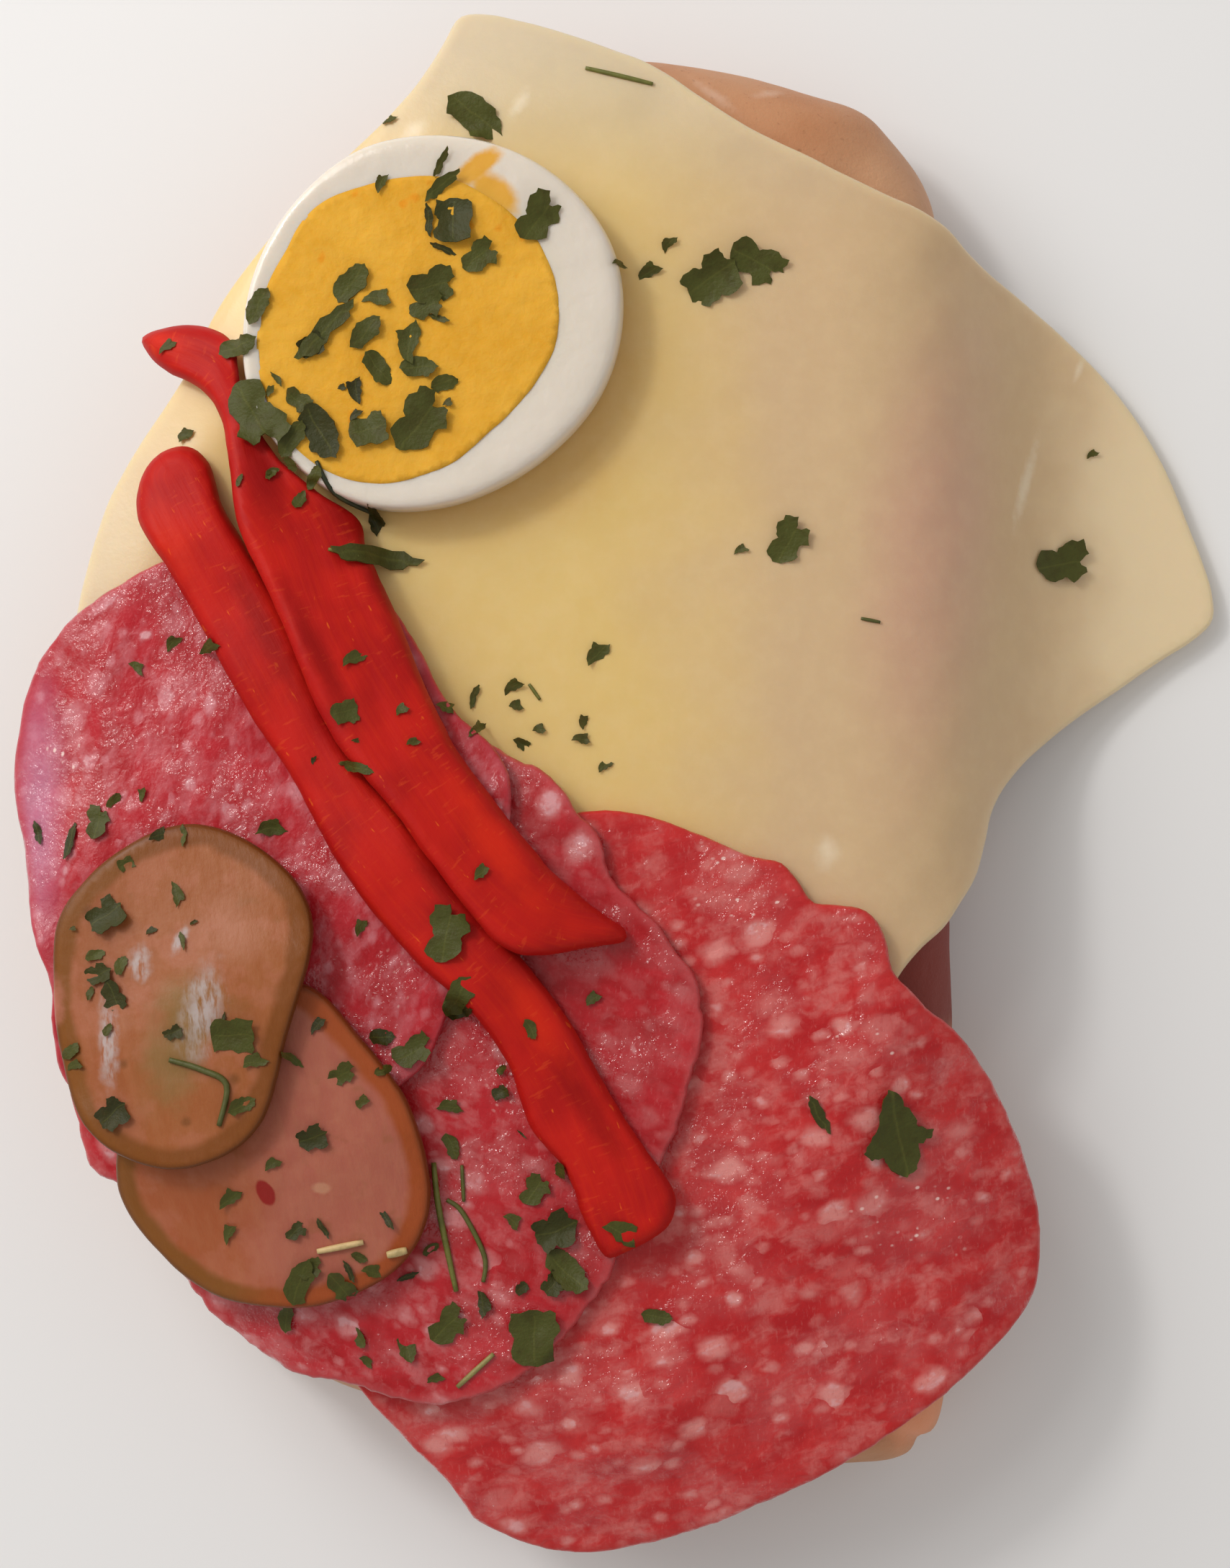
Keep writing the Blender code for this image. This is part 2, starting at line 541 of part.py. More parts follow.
def main():
    clear_scene()
    parsley = material("parsley", (0.07, 0.12, 0.03), 0.6)
    crust = material("bread crust", (0.50, 0.26, 0.14), 0.6)
    cheese_look = material("cheese", (0.80, 0.62, 0.28), 0.38)
    salami_look = material("salami", (0.50, 0.07, 0.09), 0.35, 0.2)
    white_look = material("egg white", (0.78, 0.74, 0.70), 0.25, 0.3)
    yolk_look = material("egg yolk", (0.80, 0.45, 0.05), 0.75)
    pepper_look = material("pepper", (0.60, 0.02, 0.01), 0.3, 0.3)
    gherkin_look = material("gherkin", (0.38, 0.22, 0.07), 0.25, 0.4)

    make_roll(crust)
    ground, outside_rim = roll_height_field()

    def hanging(droop):
        return ROLL_HEIGHT + GAP - np.minimum(droop * outside_rim ** 2, MOST_DROOP)

    cheese, top, ground = lay_sheet("cheese", CHEESE_OUTLINE, cheese_form(outside_rim), ground,
                                    CHEESE_THICKNESS, cheese_look, 5.4, 0.8, 40)
    sprinkle(cheese, top, parsley)

    rest = egg_rest_height(ground)
    white, yolk = make_egg(rest, white_look, yolk_look)
    flat_top = np.full(X.shape, rest + EGG_HEIGHT)
    sprinkle(white, flat_top, parsley)
    sprinkle(yolk, flat_top, parsley)

    salami = (
        ("salami_lowest", LOWEST_SALAMI_OUTLINE, LOWEST_SALAMI_DROOP, 0.4),
        ("salami_middle", MIDDLE_SALAMI_OUTLINE, MIDDLE_SALAMI_DROOP, 1.9),
        ("salami_highest", HIGHEST_SALAMI_OUTLINE, HIGHEST_SALAMI_DROOP, 3.3),
    )
    for name, outline, droop, shift in salami:
        form = hanging(droop) + waves(SALAMI_WAVE_HEIGHT, SALAMI_WAVE_LENGTH, shift)
        piece, top, ground = lay_sheet(name, outline, form, ground,
                                       SALAMI_THICKNESS, salami_look, 5.0, 0.4, 110)
        sprinkle(piece, top, parsley)

    peppers = (("pepper_long", LONG_PEPPER_OUTLINE), ("pepper_hooked", HOOKED_PEPPER_OUTLINE))
    for name, outline in peppers:
        piece, top, ground = lay_pepper(name, outline, hanging(STIFF_DROOP), ground, pepper_look)
        sprinkle(piece, top, parsley)

    gherkins = (("gherkin_lower", LOWER_GHERKIN_OUTLINE), ("gherkin_upper", UPPER_GHERKIN_OUTLINE))
    for name, outline in gherkins:
        piece, top, ground = lay_sheet(name, outline, hanging(STIFF_DROOP), ground,
                                       GHERKIN_THICKNESS, gherkin_look, 4.2, 0.9, 160)
        sprinkle(piece, top, parsley)


main()
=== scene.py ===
# %% [markdown]
# # An open-faced sandwich
# Half a roll carries a slice of cheese, a slice of boiled egg, three slices of salami, two strips of
# red pepper, two slices of pickled gherkin and a lot of chopped parsley. The solid model gives each
# piece its place and its form. This lesson makes every piece again with a finer surface, gives each
# one a procedural material, lights the food softly and looks at it from straight above.

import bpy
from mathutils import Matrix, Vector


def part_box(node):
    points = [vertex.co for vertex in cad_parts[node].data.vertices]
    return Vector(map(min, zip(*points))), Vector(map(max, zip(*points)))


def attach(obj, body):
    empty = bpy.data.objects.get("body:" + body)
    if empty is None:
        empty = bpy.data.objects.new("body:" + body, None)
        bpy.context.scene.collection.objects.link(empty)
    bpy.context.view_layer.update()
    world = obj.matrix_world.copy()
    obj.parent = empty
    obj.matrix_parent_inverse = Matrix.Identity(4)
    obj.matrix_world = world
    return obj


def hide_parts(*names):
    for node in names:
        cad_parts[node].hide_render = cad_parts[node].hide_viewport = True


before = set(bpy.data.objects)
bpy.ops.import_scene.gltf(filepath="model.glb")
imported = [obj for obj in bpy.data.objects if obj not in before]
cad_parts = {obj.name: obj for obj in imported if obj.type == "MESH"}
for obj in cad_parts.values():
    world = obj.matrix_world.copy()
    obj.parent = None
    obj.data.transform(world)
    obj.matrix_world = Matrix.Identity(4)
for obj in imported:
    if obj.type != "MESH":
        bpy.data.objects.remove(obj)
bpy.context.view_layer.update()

# %% [markdown]
# ## The tools
# bpy makes the objects and materials, bmesh and numpy handle many points at once, and mathutils
# gives noise, ray casts and triangulation. Lengths are in millimetres until a mesh is made.

# %% Import the tools and fix the grid
import math

import bmesh
import bpy
import numpy as np
from mathutils import Vector, noise
from mathutils.bvhtree import BVHTree
from mathutils.geometry import delaunay_2d_cdt

MM = 0.001
CELL = 0.7
GRID_X = np.arange(-66.0, 88.0, CELL)
GRID_Y = np.arange(-96.0, 94.0, CELL)
X, Y = np.meshgrid(GRID_X, GRID_Y)
print("the height grid has", X.size, "cells of", CELL, "mm")

# %% [markdown]
# ## Closed outlines
# A slice of food is a flat outline with a thickness. These functions smooth an outline, measure how
# deep a point lies inside it, and move it inwards for the rounded rim. A curve object could do the
# same, but plain arrays are easier to measure and to fill with triangles.


# %% Functions for outlines
def area(loop):
    """The area inside a loop, negative where the loop runs clockwise."""
    x, y = loop.T
    return 0.5 * float(np.sum(x * np.roll(y, -1) - np.roll(x, -1) * y))


def bend(before, start, end, after, t):
    """The point at t, from 0 to 1, on a smooth curve from start to end."""
    return 0.5 * (2 * start + (end - before) * t
                  + (2 * before - 5 * start + 4 * end - after) * t ** 2
                  + (3 * start - before - 3 * end + after) * t ** 3)


def smooth_line(points, steps=8):
    """A smooth open line through the points."""
    points = np.array([points[0], *points, points[-1]], float)
    stretches = zip(points, points[1:], points[2:], points[3:])
    fine = [bend(*stretch, k / steps) for stretch in stretches for k in range(steps)]
    return np.array([*fine, points[-1]])


def smooth_loop(corners, spacing, steps=16):
    """A closed smooth curve through the corners, as points about evenly spaced along it."""
    corners = np.array(corners, float)
    before, after, far = (np.roll(corners, k, axis=0) for k in (1, -1, -2))
    fine = np.stack([bend(before, corners, after, far, k / steps) for k in range(steps)], axis=1)
    fine = fine.reshape(-1, 2)
    fine = np.concatenate([fine, fine[:1]])
    run = np.concatenate(([0], np.cumsum(np.hypot(*np.diff(fine, axis=0).T))))
    at = np.linspace(0, run[-1], max(12, round(run[-1] / spacing)), endpoint=False)
    loop = np.column_stack([np.interp(at, run, fine[:, 0]), np.interp(at, run, fine[:, 1])])
    return loop if area(loop) > 0 else loop[::-1]


# %% Functions for depths and distances
def from_nearest(x, y, start, end):
    """The share of a straight piece at the place nearest to each point, and the way out from there."""
    dx, dy = end[0] - start[0], end[1] - start[1]
    share = np.clip(((x - start[0]) * dx + (y - start[1]) * dy) / (dx * dx + dy * dy), 0, 1)
    return share, x - start[0] - share * dx, y - start[1] - share * dy


def depth_inside(loop, x, y):
    """How far each point is inside the loop; negative outside."""
    nearest = np.full(np.shape(x), np.inf)
    inside = np.zeros(np.shape(x), bool)
    for start, end in zip(loop, np.roll(loop, -1, axis=0)):
        _, out_x, out_y = from_nearest(x, y, start, end)
        nearest = np.minimum(nearest, out_x ** 2 + out_y ** 2)
        if start[1] != end[1]:
            crossing = start[0] + (y - start[1]) * (end[0] - start[0]) / (end[1] - start[1])
            inside ^= ((start[1] > y) != (end[1] > y)) & (x < crossing)
    return np.where(inside, 1, -1) * np.sqrt(nearest)


def distance_to_line(points, x, y):
    """How far each point is from an open line."""
    nearest = np.full(np.shape(x), np.inf)
    for start, end in zip(points, points[1:]):
        _, out_x, out_y = from_nearest(x, y, start, end)
        nearest = np.minimum(nearest, np.hypot(out_x, out_y))
    return nearest


def normals_in(loop):
    """At each point of a loop, the direction that leads inwards, one unit long."""
    tangent = np.roll(loop, -1, axis=0) - np.roll(loop, 1, axis=0)
    tangent /= np.linalg.norm(tangent, axis=1)[:, None]
    return np.column_stack([-tangent[:, 1], tangent[:, 0]])


# %% A function for noise
def cloud(x, y, size, seed):
    """Smooth noise from -1 to 1 whose lumps are about the size given, in millimetres."""
    x, y = np.broadcast_arrays(np.asarray(x, float), np.asarray(y, float))
    level = np.full(x.size, seed * 7.31)
    places = np.column_stack([x.ravel() / size, y.ravel() / size, level])
    return np.array([noise.noise(p) for p in places.tolist()]).reshape(x.shape)

# %% [markdown]
# ## A height field
# Everything laid so far is kept as one grid of heights, called the ground. It tells a new slice what
# it lies on and a leaf where it lands. Blender's cloth simulation could drop the slices too, but a
# height field gives the same result every time and takes no time.


# %% Functions for the grid
MOST_STRETCH = 1.6


def read_grid(field, x, y):
    """A grid's value at any points, in between its cells."""
    u = np.clip((np.asarray(x, float) - GRID_X[0]) / CELL, 0, len(GRID_X) - 1.001)
    v = np.clip((np.asarray(y, float) - GRID_Y[0]) / CELL, 0, len(GRID_Y) - 1.001)
    i, j = u.astype(int), v.astype(int)
    s, t = u - i, v - j
    low = field[j, i] * (1 - s) + field[j, i + 1] * s
    high = field[j + 1, i] * (1 - s) + field[j + 1, i + 1] * s
    return low * (1 - t) + high * t


def neighbours(field):
    """The grid moved by one cell in each of the four directions."""
    padded = np.pad(field, 1, mode="edge")
    return padded[:-2, 1:-1], padded[2:, 1:-1], padded[1:-1, :-2], padded[1:-1, 2:]


def blurred(field, passes):
    """Each cell becomes the mean of itself and its four neighbours, a few times over."""
    for _ in range(passes):
        field = (field + sum(neighbours(field))) / 5
    return field


def carried(field, known, steps, slopes=(0.0, 0.0)):
    """Carries the known values outwards, cell by cell, with a slope up and a slope to the right."""
    up, right = slopes
    field, known = np.where(known, field, 0.0), known.astype(float)
    for _ in range(steps):
        sure = neighbours(known)
        near = zip(neighbours(field * known), sure, (up, -up, right, -right))
        total, count = sum(value + move * here for value, here, move in near), sum(sure)
        fresh = (known == 0) & (count > 0)
        field = np.where(fresh, total / np.maximum(count, 1), field)
        known = np.where(fresh, 1.0, known)
    return field


def extended(field, known, steps):
    """Carries a surface on past its edge with the slope that it has there."""
    core = known & (sum(neighbours(known.astype(int))) == 4)
    slopes = [blurred(carried(slope, core, steps + 2), 4) for slope in np.gradient(field)]
    return carried(field, known, steps, slopes)


def stretch_of(field):
    """How much longer a sloping surface is than its plan, at each cell."""
    dy, dx = np.gradient(field, CELL)
    return np.minimum(np.sqrt(1 + dx ** 2 + dy ** 2), MOST_STRETCH)

# %% [markdown]
# ## Reading the solid pieces
# The imported nodes have split vertices, so a copy of each is merged first and the node itself is
# left alone. The outline of a slice is the line where faces that look down meet the others, and its
# underside is found with rays cast from below, where no leaf is in the way.


# %% Functions that read a node
LOOKS_DOWN = -0.02
CARRY_CELLS, CALM_PASSES = 12, 6


def merged(name):
    """A copy of a node's mesh in which split vertices are one again."""
    body = bmesh.new()
    body.from_mesh(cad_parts[name].data)
    bmesh.ops.remove_doubles(body, verts=body.verts, dist=1e-6)
    body.normal_update()
    body.verts.index_update()
    body.verts.ensure_lookup_table()
    return body


def outlines_of(name):
    """The closed lines round a node's underside, the widest first, in millimetres."""
    body = merged(name)
    joins = {}
    for edge in body.edges:
        down = [face.normal.z < LOOKS_DOWN for face in edge.link_faces]
        if len(down) == 2 and down[0] != down[1]:
            a, b = (v.index for v in edge.verts)
            joins.setdefault(a, []).append(b)
            joins.setdefault(b, []).append(a)
    left, loops = set(joins), []
    for start in sorted(joins):
        if start not in left:
            continue
        left.discard(start)
        walk = [start]
        while ahead := [v for v in joins[walk[-1]] if v in left]:
            left.discard(ahead[0])
            walk.append(ahead[0])
        loops.append(np.array([body.verts[v].co.xy for v in walk]) / MM)
    body.free()
    return sorted(loops, key=lambda loop: abs(area(loop)), reverse=True)


def underside_of(name, depth, rim):
    """The height of a node's underside over the grid, carried on past its edge and smoothed."""
    body = merged(name)
    tree = BVHTree.FromBMesh(body)
    body.free()
    known = depth > rim
    field = np.zeros(X.shape)
    for j, i in np.argwhere(known):
        hit = tree.ray_cast(Vector((X[j, i] * MM, Y[j, i] * MM, -0.05)), Vector((0, 0, 1)))[0]
        field[j, i] = hit.z / MM if hit else np.nan
    known &= ~np.isnan(field)
    return blurred(extended(np.nan_to_num(field), known, CARRY_CELLS), CALM_PASSES)

# %% [markdown]
# ## Meshes
# A slice gets a fine triangulated top, a coarser underside and a rim of several rings that rounds
# the edge. Delaunay triangles follow any outline without the stretched faces that a grid would cut
# at the edge. Each vertex also keeps its distance from the edge, for the material.


# %% Functions that make meshes
def make_object(name, points, faces, **values):
    """A mesh object from points in millimetres, with named values on its vertices."""
    mesh = bpy.data.meshes.new(name)
    mesh.from_pydata((np.asarray(points, float) * MM).tolist(), [], faces)
    mesh.validate()
    for key, value in values.items():
        mesh.attributes.new(key, "FLOAT", "POINT").data.foreach_set("value", np.asarray(value, float))
    mesh.shade_smooth()
    made = bpy.data.objects.new(name, mesh)
    bpy.context.scene.collection.objects.link(made)
    return made


# %% Functions that fill an outline
def triangles_in(points, count):
    """Triangles between points, of which the first ones are the closed line round them."""
    found = delaunay_2d_cdt([Vector(p) for p in points], [], [list(range(count))], 1, 1e-6)
    return [tuple(face) for face in found[2]]


def band(a, b, n):
    """The faces between two rings of n vertices that start at a and at b."""
    return [(a + k, b + k, b + (k + 1) % n, a + (k + 1) % n) for k in range(n)]


def filled(loop, depth, inset, spacing):
    """Points over the area of a loop, the loop first, and the triangles between them."""
    rows = np.arange(loop[:, 1].min(), loop[:, 1].max(), spacing * math.sqrt(3) / 2)
    across = np.arange(loop[:, 0].min(), loop[:, 0].max(), spacing)
    px, py = np.meshgrid(across, rows)
    px = px + (np.arange(len(rows)) % 2)[:, None] * spacing / 2
    inner = np.column_stack([px.ravel(), py.ravel()])
    inner = inner[read_grid(depth, inner[:, 0], inner[:, 1]) > inset + 0.6 * spacing]
    points = np.concatenate([loop, inner])
    return points, triangles_in(points, len(loop))


# %% Functions that build a slice and put a piece in its place
RIM_ANGLES = np.radians([90, 65, 40, 15, -15, -40, -65, -90])


def slab(name, loop, depth, under, thick, rounding, relief, spacing=0.8):
    """A slice on its underside field, with a rounded rim; relief(x, y) is added to its top."""
    rings = [loop + rounding * (1 - math.cos(a)) * normals_in(loop) for a in RIM_ANGLES]
    top, top_faces = filled(rings[0], depth, rounding, spacing)
    low, low_faces = filled(rings[-1], depth, rounding, 3 * spacing)
    plan = np.concatenate([top, *rings[1:-1], low])
    side = np.concatenate([np.ones(len(top)),
                           *[np.full(len(loop), math.sin(a)) for a in RIM_ANGLES[1:-1]],
                           -np.ones(len(low))])
    x, y = plan.T
    z = read_grid(under, x, y) + read_grid(thick, x, y) * (1 + side) / 2
    z = z + relief(x, y) * np.clip(0.5 + side, 0, 1)
    n, faces = len(loop), list(top_faces)
    starts = [0] + [len(top) + n * k for k in range(len(rings) - 1)]
    for a, b in zip(starts, starts[1:]):
        faces += band(a, b, n)
    faces += [tuple(starts[-1] + k for k in reversed(face)) for face in low_faces]
    edge = np.maximum(read_grid(depth, x, y), 0.0)
    made = make_object(name, np.column_stack([x, y, z]), faces, edge=edge)
    print(name, "has", len(made.data.polygons), "faces")
    return made


def put(piece, look, *nodes, slot=None):
    """Gives a finished piece its material and its place on the object."""
    piece.data.materials.clear()
    piece.data.materials.append(look)
    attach(piece, "root")
    if nodes:
        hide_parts(*nodes)
    print(piece.name, "is made of", look.name)

# %% [markdown]
# ## A material as a recipe
# A material here is a short recipe: where am I, what noise is here, which colour does that give, how
# rough and bumpy is it. The classes below add one node per step and return its output, so a recipe
# reads from top to bottom. All patterns use object coordinates in millimetres, so sizes are real.
# Nodes placed by hand do the same, but a recipe can be read, copied and changed in one place.


# %% A function for colours
def seen(red, green, blue, light=0.93, gloss=0.018):
    """The base colour of a surface that looks like this under the scene's light."""
    parts = np.array([red, green, blue]) / 255.0
    linear = np.where(parts <= 0.04045, parts / 12.92, ((parts + 0.055) / 1.055) ** 2.4)
    return (*np.clip((linear - gloss) / light, 0.002, 0.95).tolist(), 1.0)


# %% A class that adds nodes
class Nodes:
    """A node tree: each step adds one node, sets or links its inputs and gives its outputs."""

    def __init__(self, tree):
        self.tree = tree

    def give(self, socket, value):
        """Links a socket to another node's output, or sets its constant."""
        if isinstance(value, bpy.types.NodeSocket):
            self.tree.links.new(value, socket)
        else:
            socket.default_value = value

    def add(self, kind, inputs=(), **properties):
        """Adds a node with its settings, gives its inputs their values and returns its outputs."""
        node = self.tree.nodes.new(kind)
        for key, value in properties.items():
            setattr(node, key, value)
        for key, value in dict(inputs).items():
            self.give(node.inputs[key], value)
        return node.outputs

    def vector(self, operation, first, second):
        return self.add("ShaderNodeVectorMath", {0: first, 1: second}, operation=operation)[0]

    def calc(self, operation, first, second):
        return self.add("ShaderNodeMath", {0: first, 1: second}, operation=operation)[0]

    def times(self, first, second):
        return self.calc("MULTIPLY", first, second)

    def larger(self, first, second):
        return self.calc("MAXIMUM", first, second)


# %% A class for materials
class Recipe(Nodes):
    """A material; every place and size in it is in millimetres."""

    def __init__(self, name):
        self.look = bpy.data.materials.new(name)
        self.look.use_nodes = True
        super().__init__(self.look.node_tree)
        self.shader = self.tree.nodes["Principled BSDF"]
        place = self.tree.nodes.new("ShaderNodeTexCoord").outputs["Object"]
        self.mm = self.vector("MULTIPLY", place, (1000, 1000, 1000))

    def split(self, vector=None):
        return self.add("ShaderNodeSeparateXYZ", {0: vector or self.mm})

    def stretched(self, factors, turn=0.0, vector=None):
        """The same place with the pattern turned and drawn out along an axis."""
        return self.add("ShaderNodeMapping", {"Vector": vector or self.mm, "Scale": factors,
                                              "Rotation": (0, 0, math.radians(turn))},
                        vector_type="TEXTURE")[0]

    def noise(self, size, detail=3.0, roughness=0.55, vector=None):
        inputs = {"Vector": vector or self.mm, "Scale": 1 / size, "Detail": detail,
                  "Roughness": roughness}
        return self.add("ShaderNodeTexNoise", inputs)["Fac"]

    def warped(self, size, amount, vector=None):
        """The same place, pushed about by noise, so that patterns lose their regular shapes."""
        vector = vector or self.mm
        push = self.add("ShaderNodeTexNoise", {"Vector": vector, "Scale": 1 / size, "Detail": 2.0})
        push = self.vector("SUBTRACT", push["Color"], (0.5, 0.5, 0.5))
        push = self.vector("MULTIPLY", push, (amount,) * 3)
        return self.vector("ADD", vector, push)

    def cells(self, size, vector, randomness=1.0):
        """Distance to the nearest of scattered points, in cell sizes, and a colour of each cell."""
        inputs = {"Vector": vector, "Scale": 1 / size, "Randomness": randomness}
        return self.add("ShaderNodeTexVoronoi", inputs)

    def step(self, value, start, full, low=0.0, high=1.0):
        """A soft step from low to high, as the value goes from start to full."""
        inputs = {0: value, 1: start, 2: full, 3: low, 4: high}
        return self.add("ShaderNodeMapRange", inputs, interpolation_type="SMOOTHSTEP")[0]

    def spot(self, x, y, long, wide, turn=0.0, soft=0.5, ragged=0.5):
        """A soft oval mask at a place in millimetres, with an uneven border."""
        there = self.vector("SUBTRACT", self.mm, (x, y, 0))
        there = self.stretched((long, wide, 1000), turn, there)
        far = self.add("ShaderNodeVectorMath", {0: there}, operation="LENGTH")["Value"]
        uneven = self.times(self.noise(0.7 * wide + 0.3, 3.0), ragged)
        return self.step(self.calc("ADD", far, uneven), 1 + ragged / 2, 1 + ragged / 2 - soft)

    def mix(self, share, first, second):
        return self.add("ShaderNodeMix", {0: share, 6: first, 7: second}, data_type="RGBA")[2]

    def paint(self, below, mask, amount, colour):
        """Lays some of a colour over another where a mask is 1."""
        return self.mix(self.times(mask, amount), below, colour)

    def dabs(self, below, spots):
        """Lays one spot of colour after another; each has a place and form, an amount and a colour."""
        for spot, amount, colour in spots:
            below = self.paint(below, self.spot(*spot), amount, colour)
        return below

    def value(self, name):
        return self.add("ShaderNodeAttribute", attribute_name=name)["Fac"]

    def bump(self, height, depth, below=None):
        """Bumps as deep as the height times a depth in millimetres, over those below."""
        inputs = {"Height": height, "Distance": depth * MM, "Strength": 1.0}
        if below:
            inputs["Normal"] = below
        return self.add("ShaderNodeBump", inputs)[0]

    def finish(self, **inputs):
        """Sets the shader's sockets; the underscores in a name stand for spaces."""
        for key, value in inputs.items():
            self.give(self.shader.inputs[key.replace("_", " ")], value)
        return self.look

# %% [markdown]
# ## The roll
# The roll is the solid piece itself with more faces: its triangles are joined to quads, subdivided
# smooth and then pushed in and out by noise. A sculpted mesh would look as good but could not be
# changed by one number. The crust is smooth with shallow dents, and the cut face has small pores.


# %% Make the roll
CUT_HEIGHT, CUT_FLATNESS = 19.6, 0.975
FOLD = ((44.6, -75.8), (40.5, -74.0), (36.0, -71.0))
FOLD_DEPTH, FOLD_WIDTH, FOLD_FROM = 0.9, 1.1, 4.0
FLAT_BELOW = 0.3


def finer_roll():
    """The roll's own mesh in quads, subdivided smooth."""
    body = merged("bread_roll")
    bmesh.ops.join_triangles(body, faces=body.faces, angle_face_threshold=0.8,
                             angle_shape_threshold=3.1)
    mesh = bpy.data.meshes.new("roll")
    body.to_mesh(mesh)
    body.free()
    rough = bpy.data.objects.new("roll_form", mesh)
    bpy.context.scene.collection.objects.link(rough)
    finer = rough.modifiers.new("finer", "SUBSURF")
    finer.levels = 3
    finer.render_levels = 3
    graph = bpy.context.evaluated_depsgraph_get()
    fine = bpy.data.meshes.new_from_object(rough.evaluated_get(graph))
    bpy.data.objects.remove(rough)
    return fine


def read_vertices(mesh, key):
    """The places or the normals of a mesh's vertices, one row each."""
    values = np.empty(len(mesh.vertices) * 3)
    mesh.vertices.foreach_get(key, values)
    return values.reshape(-1, 3)


def make_roll():
    """The roll with shallow dents in its crust, small pores in its crumb and one fold."""
    fine = finer_roll()
    co, normal = read_vertices(fine, "co") / MM, read_vertices(fine, "normal")
    x, y, z = co.T
    crumb = np.clip((normal[:, 2] - CUT_FLATNESS) / 0.02, 0, 1) * (z > CUT_HEIGHT)
    dents = 0.22 * cloud(x + z, y - z, 9.0, 1) + 0.10 * cloud(x - z, y + z, 3.6, 2)
    pores = -0.5 * np.clip(cloud(x, y, 1.9, 3) - 0.15, 0, 1) + 0.2 * cloud(x, y, 5.0, 4)
    fold = FOLD_DEPTH * np.exp(-(distance_to_line(FOLD, x, y) / FOLD_WIDTH) ** 2)
    fold *= np.clip(z / FOLD_FROM, 0, 1)
    shift = np.where(z > FLAT_BELOW, dents * (1 - crumb) + pores * crumb - fold, 0.0)
    faces = [tuple(p.vertices) for p in fine.polygons]
    bpy.data.meshes.remove(fine)
    print("the roll has", len(faces), "faces")
    return make_object("bread", co + normal * shift[:, None], faces, crumb=crumb)


bread = make_roll()

# %% [markdown]
# ## The crust and the crumb
# Crust browns in patches, with dark specks, and the cut face is pale crumb. A painted picture could
# show this too, but noise in real sizes has no seams and can be tuned by its numbers. A little butter
# is smeared on the upper end.

# %% Bake the crust
crust = Recipe("crust")
height = crust.split()[2]
patches = crust.noise(14.0, 3.0)
tan = crust.mix(crust.step(patches, 0.35, 0.7), seen(192, 141, 105), seen(178, 124, 88))
orange = crust.step(crust.noise(22.0, 2.0, vector=crust.warped(9.0, 6.0)), 0.5, 0.75)
tan = crust.paint(tan, orange, 0.3, seen(184, 120, 80))
specks = crust.step(crust.noise(0.9, 2.0, 0.7), 0.62, 0.74)
tan = crust.paint(tan, specks, 0.35, seen(128, 82, 56))
tan = crust.mix(crust.step(height, 4.0, 0.5), tan, seen(140, 90, 58))
tan = crust.dabs(tan, (((43.0, -72.0, 7.0, 6.0, 0, 0.8), 0.9, seen(226, 150, 112)),
                       ((40.0, 62.5, 14.0, 9.0, -50, 1.0), 0.6, seen(214, 170, 134))))
crumb_tone = crust.mix(crust.noise(3.0, 4.0), seen(226, 204, 168), seen(206, 176, 134))
colour = crust.mix(crust.value("crumb"), tan, crumb_tone)
# Painted shade with a painted reddish reflection from the salami, over a darker crust: a dark red-brown
# patch at the right, between the cheese and the salami.
colour = crust.dabs(colour, [((44.5, -22.5, 8.5, 11.0, 0, 0.5), 0.95, seen(124, 44, 34))])
butter = crust.larger(crust.spot(20.5, 73.4, 4.4, 1.0, -40, 1.0, 0.9),
                      crust.spot(26.4, 74.0, 2.6, 0.8, 15, 1.0, 0.9))
colour = crust.paint(colour, butter, 0.4, seen(216, 184, 164))
grain = crust.bump(crust.noise(1.4, 5.0, 0.65), 0.10)
grain = crust.bump(crust.noise(0.35, 2.0), 0.03, grain)
crust_look = crust.finish(Base_Color=colour, Normal=grain, Roughness=0.55,
                          Specular_IOR_Level=0.4, Subsurface_Weight=0.06, Subsurface_Scale=0.002)
put(bread, crust_look, "bread_roll", slot="bread")

# %% [markdown]
# ## The first ground
# Everything else lies on the roll. Rays cast down on it fill the grid with its height, once, and
# every slice that is laid later raises the grid. Rays are exact; reading the nearest vertex would be
# faster but would leave steps.

# %% Take the height of the roll as the first ground
def height_from_above(piece):
    """The highest point of a piece over every cell of the grid; 0 where there is none."""
    faces = [face.vertices for face in piece.data.polygons]
    tree = BVHTree.FromPolygons([v.co for v in piece.data.vertices], faces)
    field = np.zeros(X.shape)
    for j, i in np.ndindex(X.shape):
        hit = tree.ray_cast(Vector((X[j, i] * MM, Y[j, i] * MM, 0.1)), Vector((0, 0, -1)))[0]
        field[j, i] = hit.z / MM if hit else 0.0
    return field


ground = height_from_above(bread)
print("the roll is", round(float(ground.max()), 1), "mm high")

# %% [markdown]
# ## Laying a slice
# One function lays every slice: it reads the solid piece's outline and underside, keeps it just
# clear of the ground, gives it an even thickness measured across the slice, and raises the ground.
# The hair-thin gap keeps the layers from showing through each other.


# %% A function that lays a slice
LAYER_GAP = 0.05
NEAR, OVER = 2.5, 0.3


def frayed(loop, size, amount, seed):
    """The loop pushed in and out by noise of two sizes."""
    push = cloud(*loop.T, size, seed) + 0.5 * cloud(*loop.T, size / 2.4, seed + 1)
    return loop + (amount * push)[:, None] * normals_in(loop)


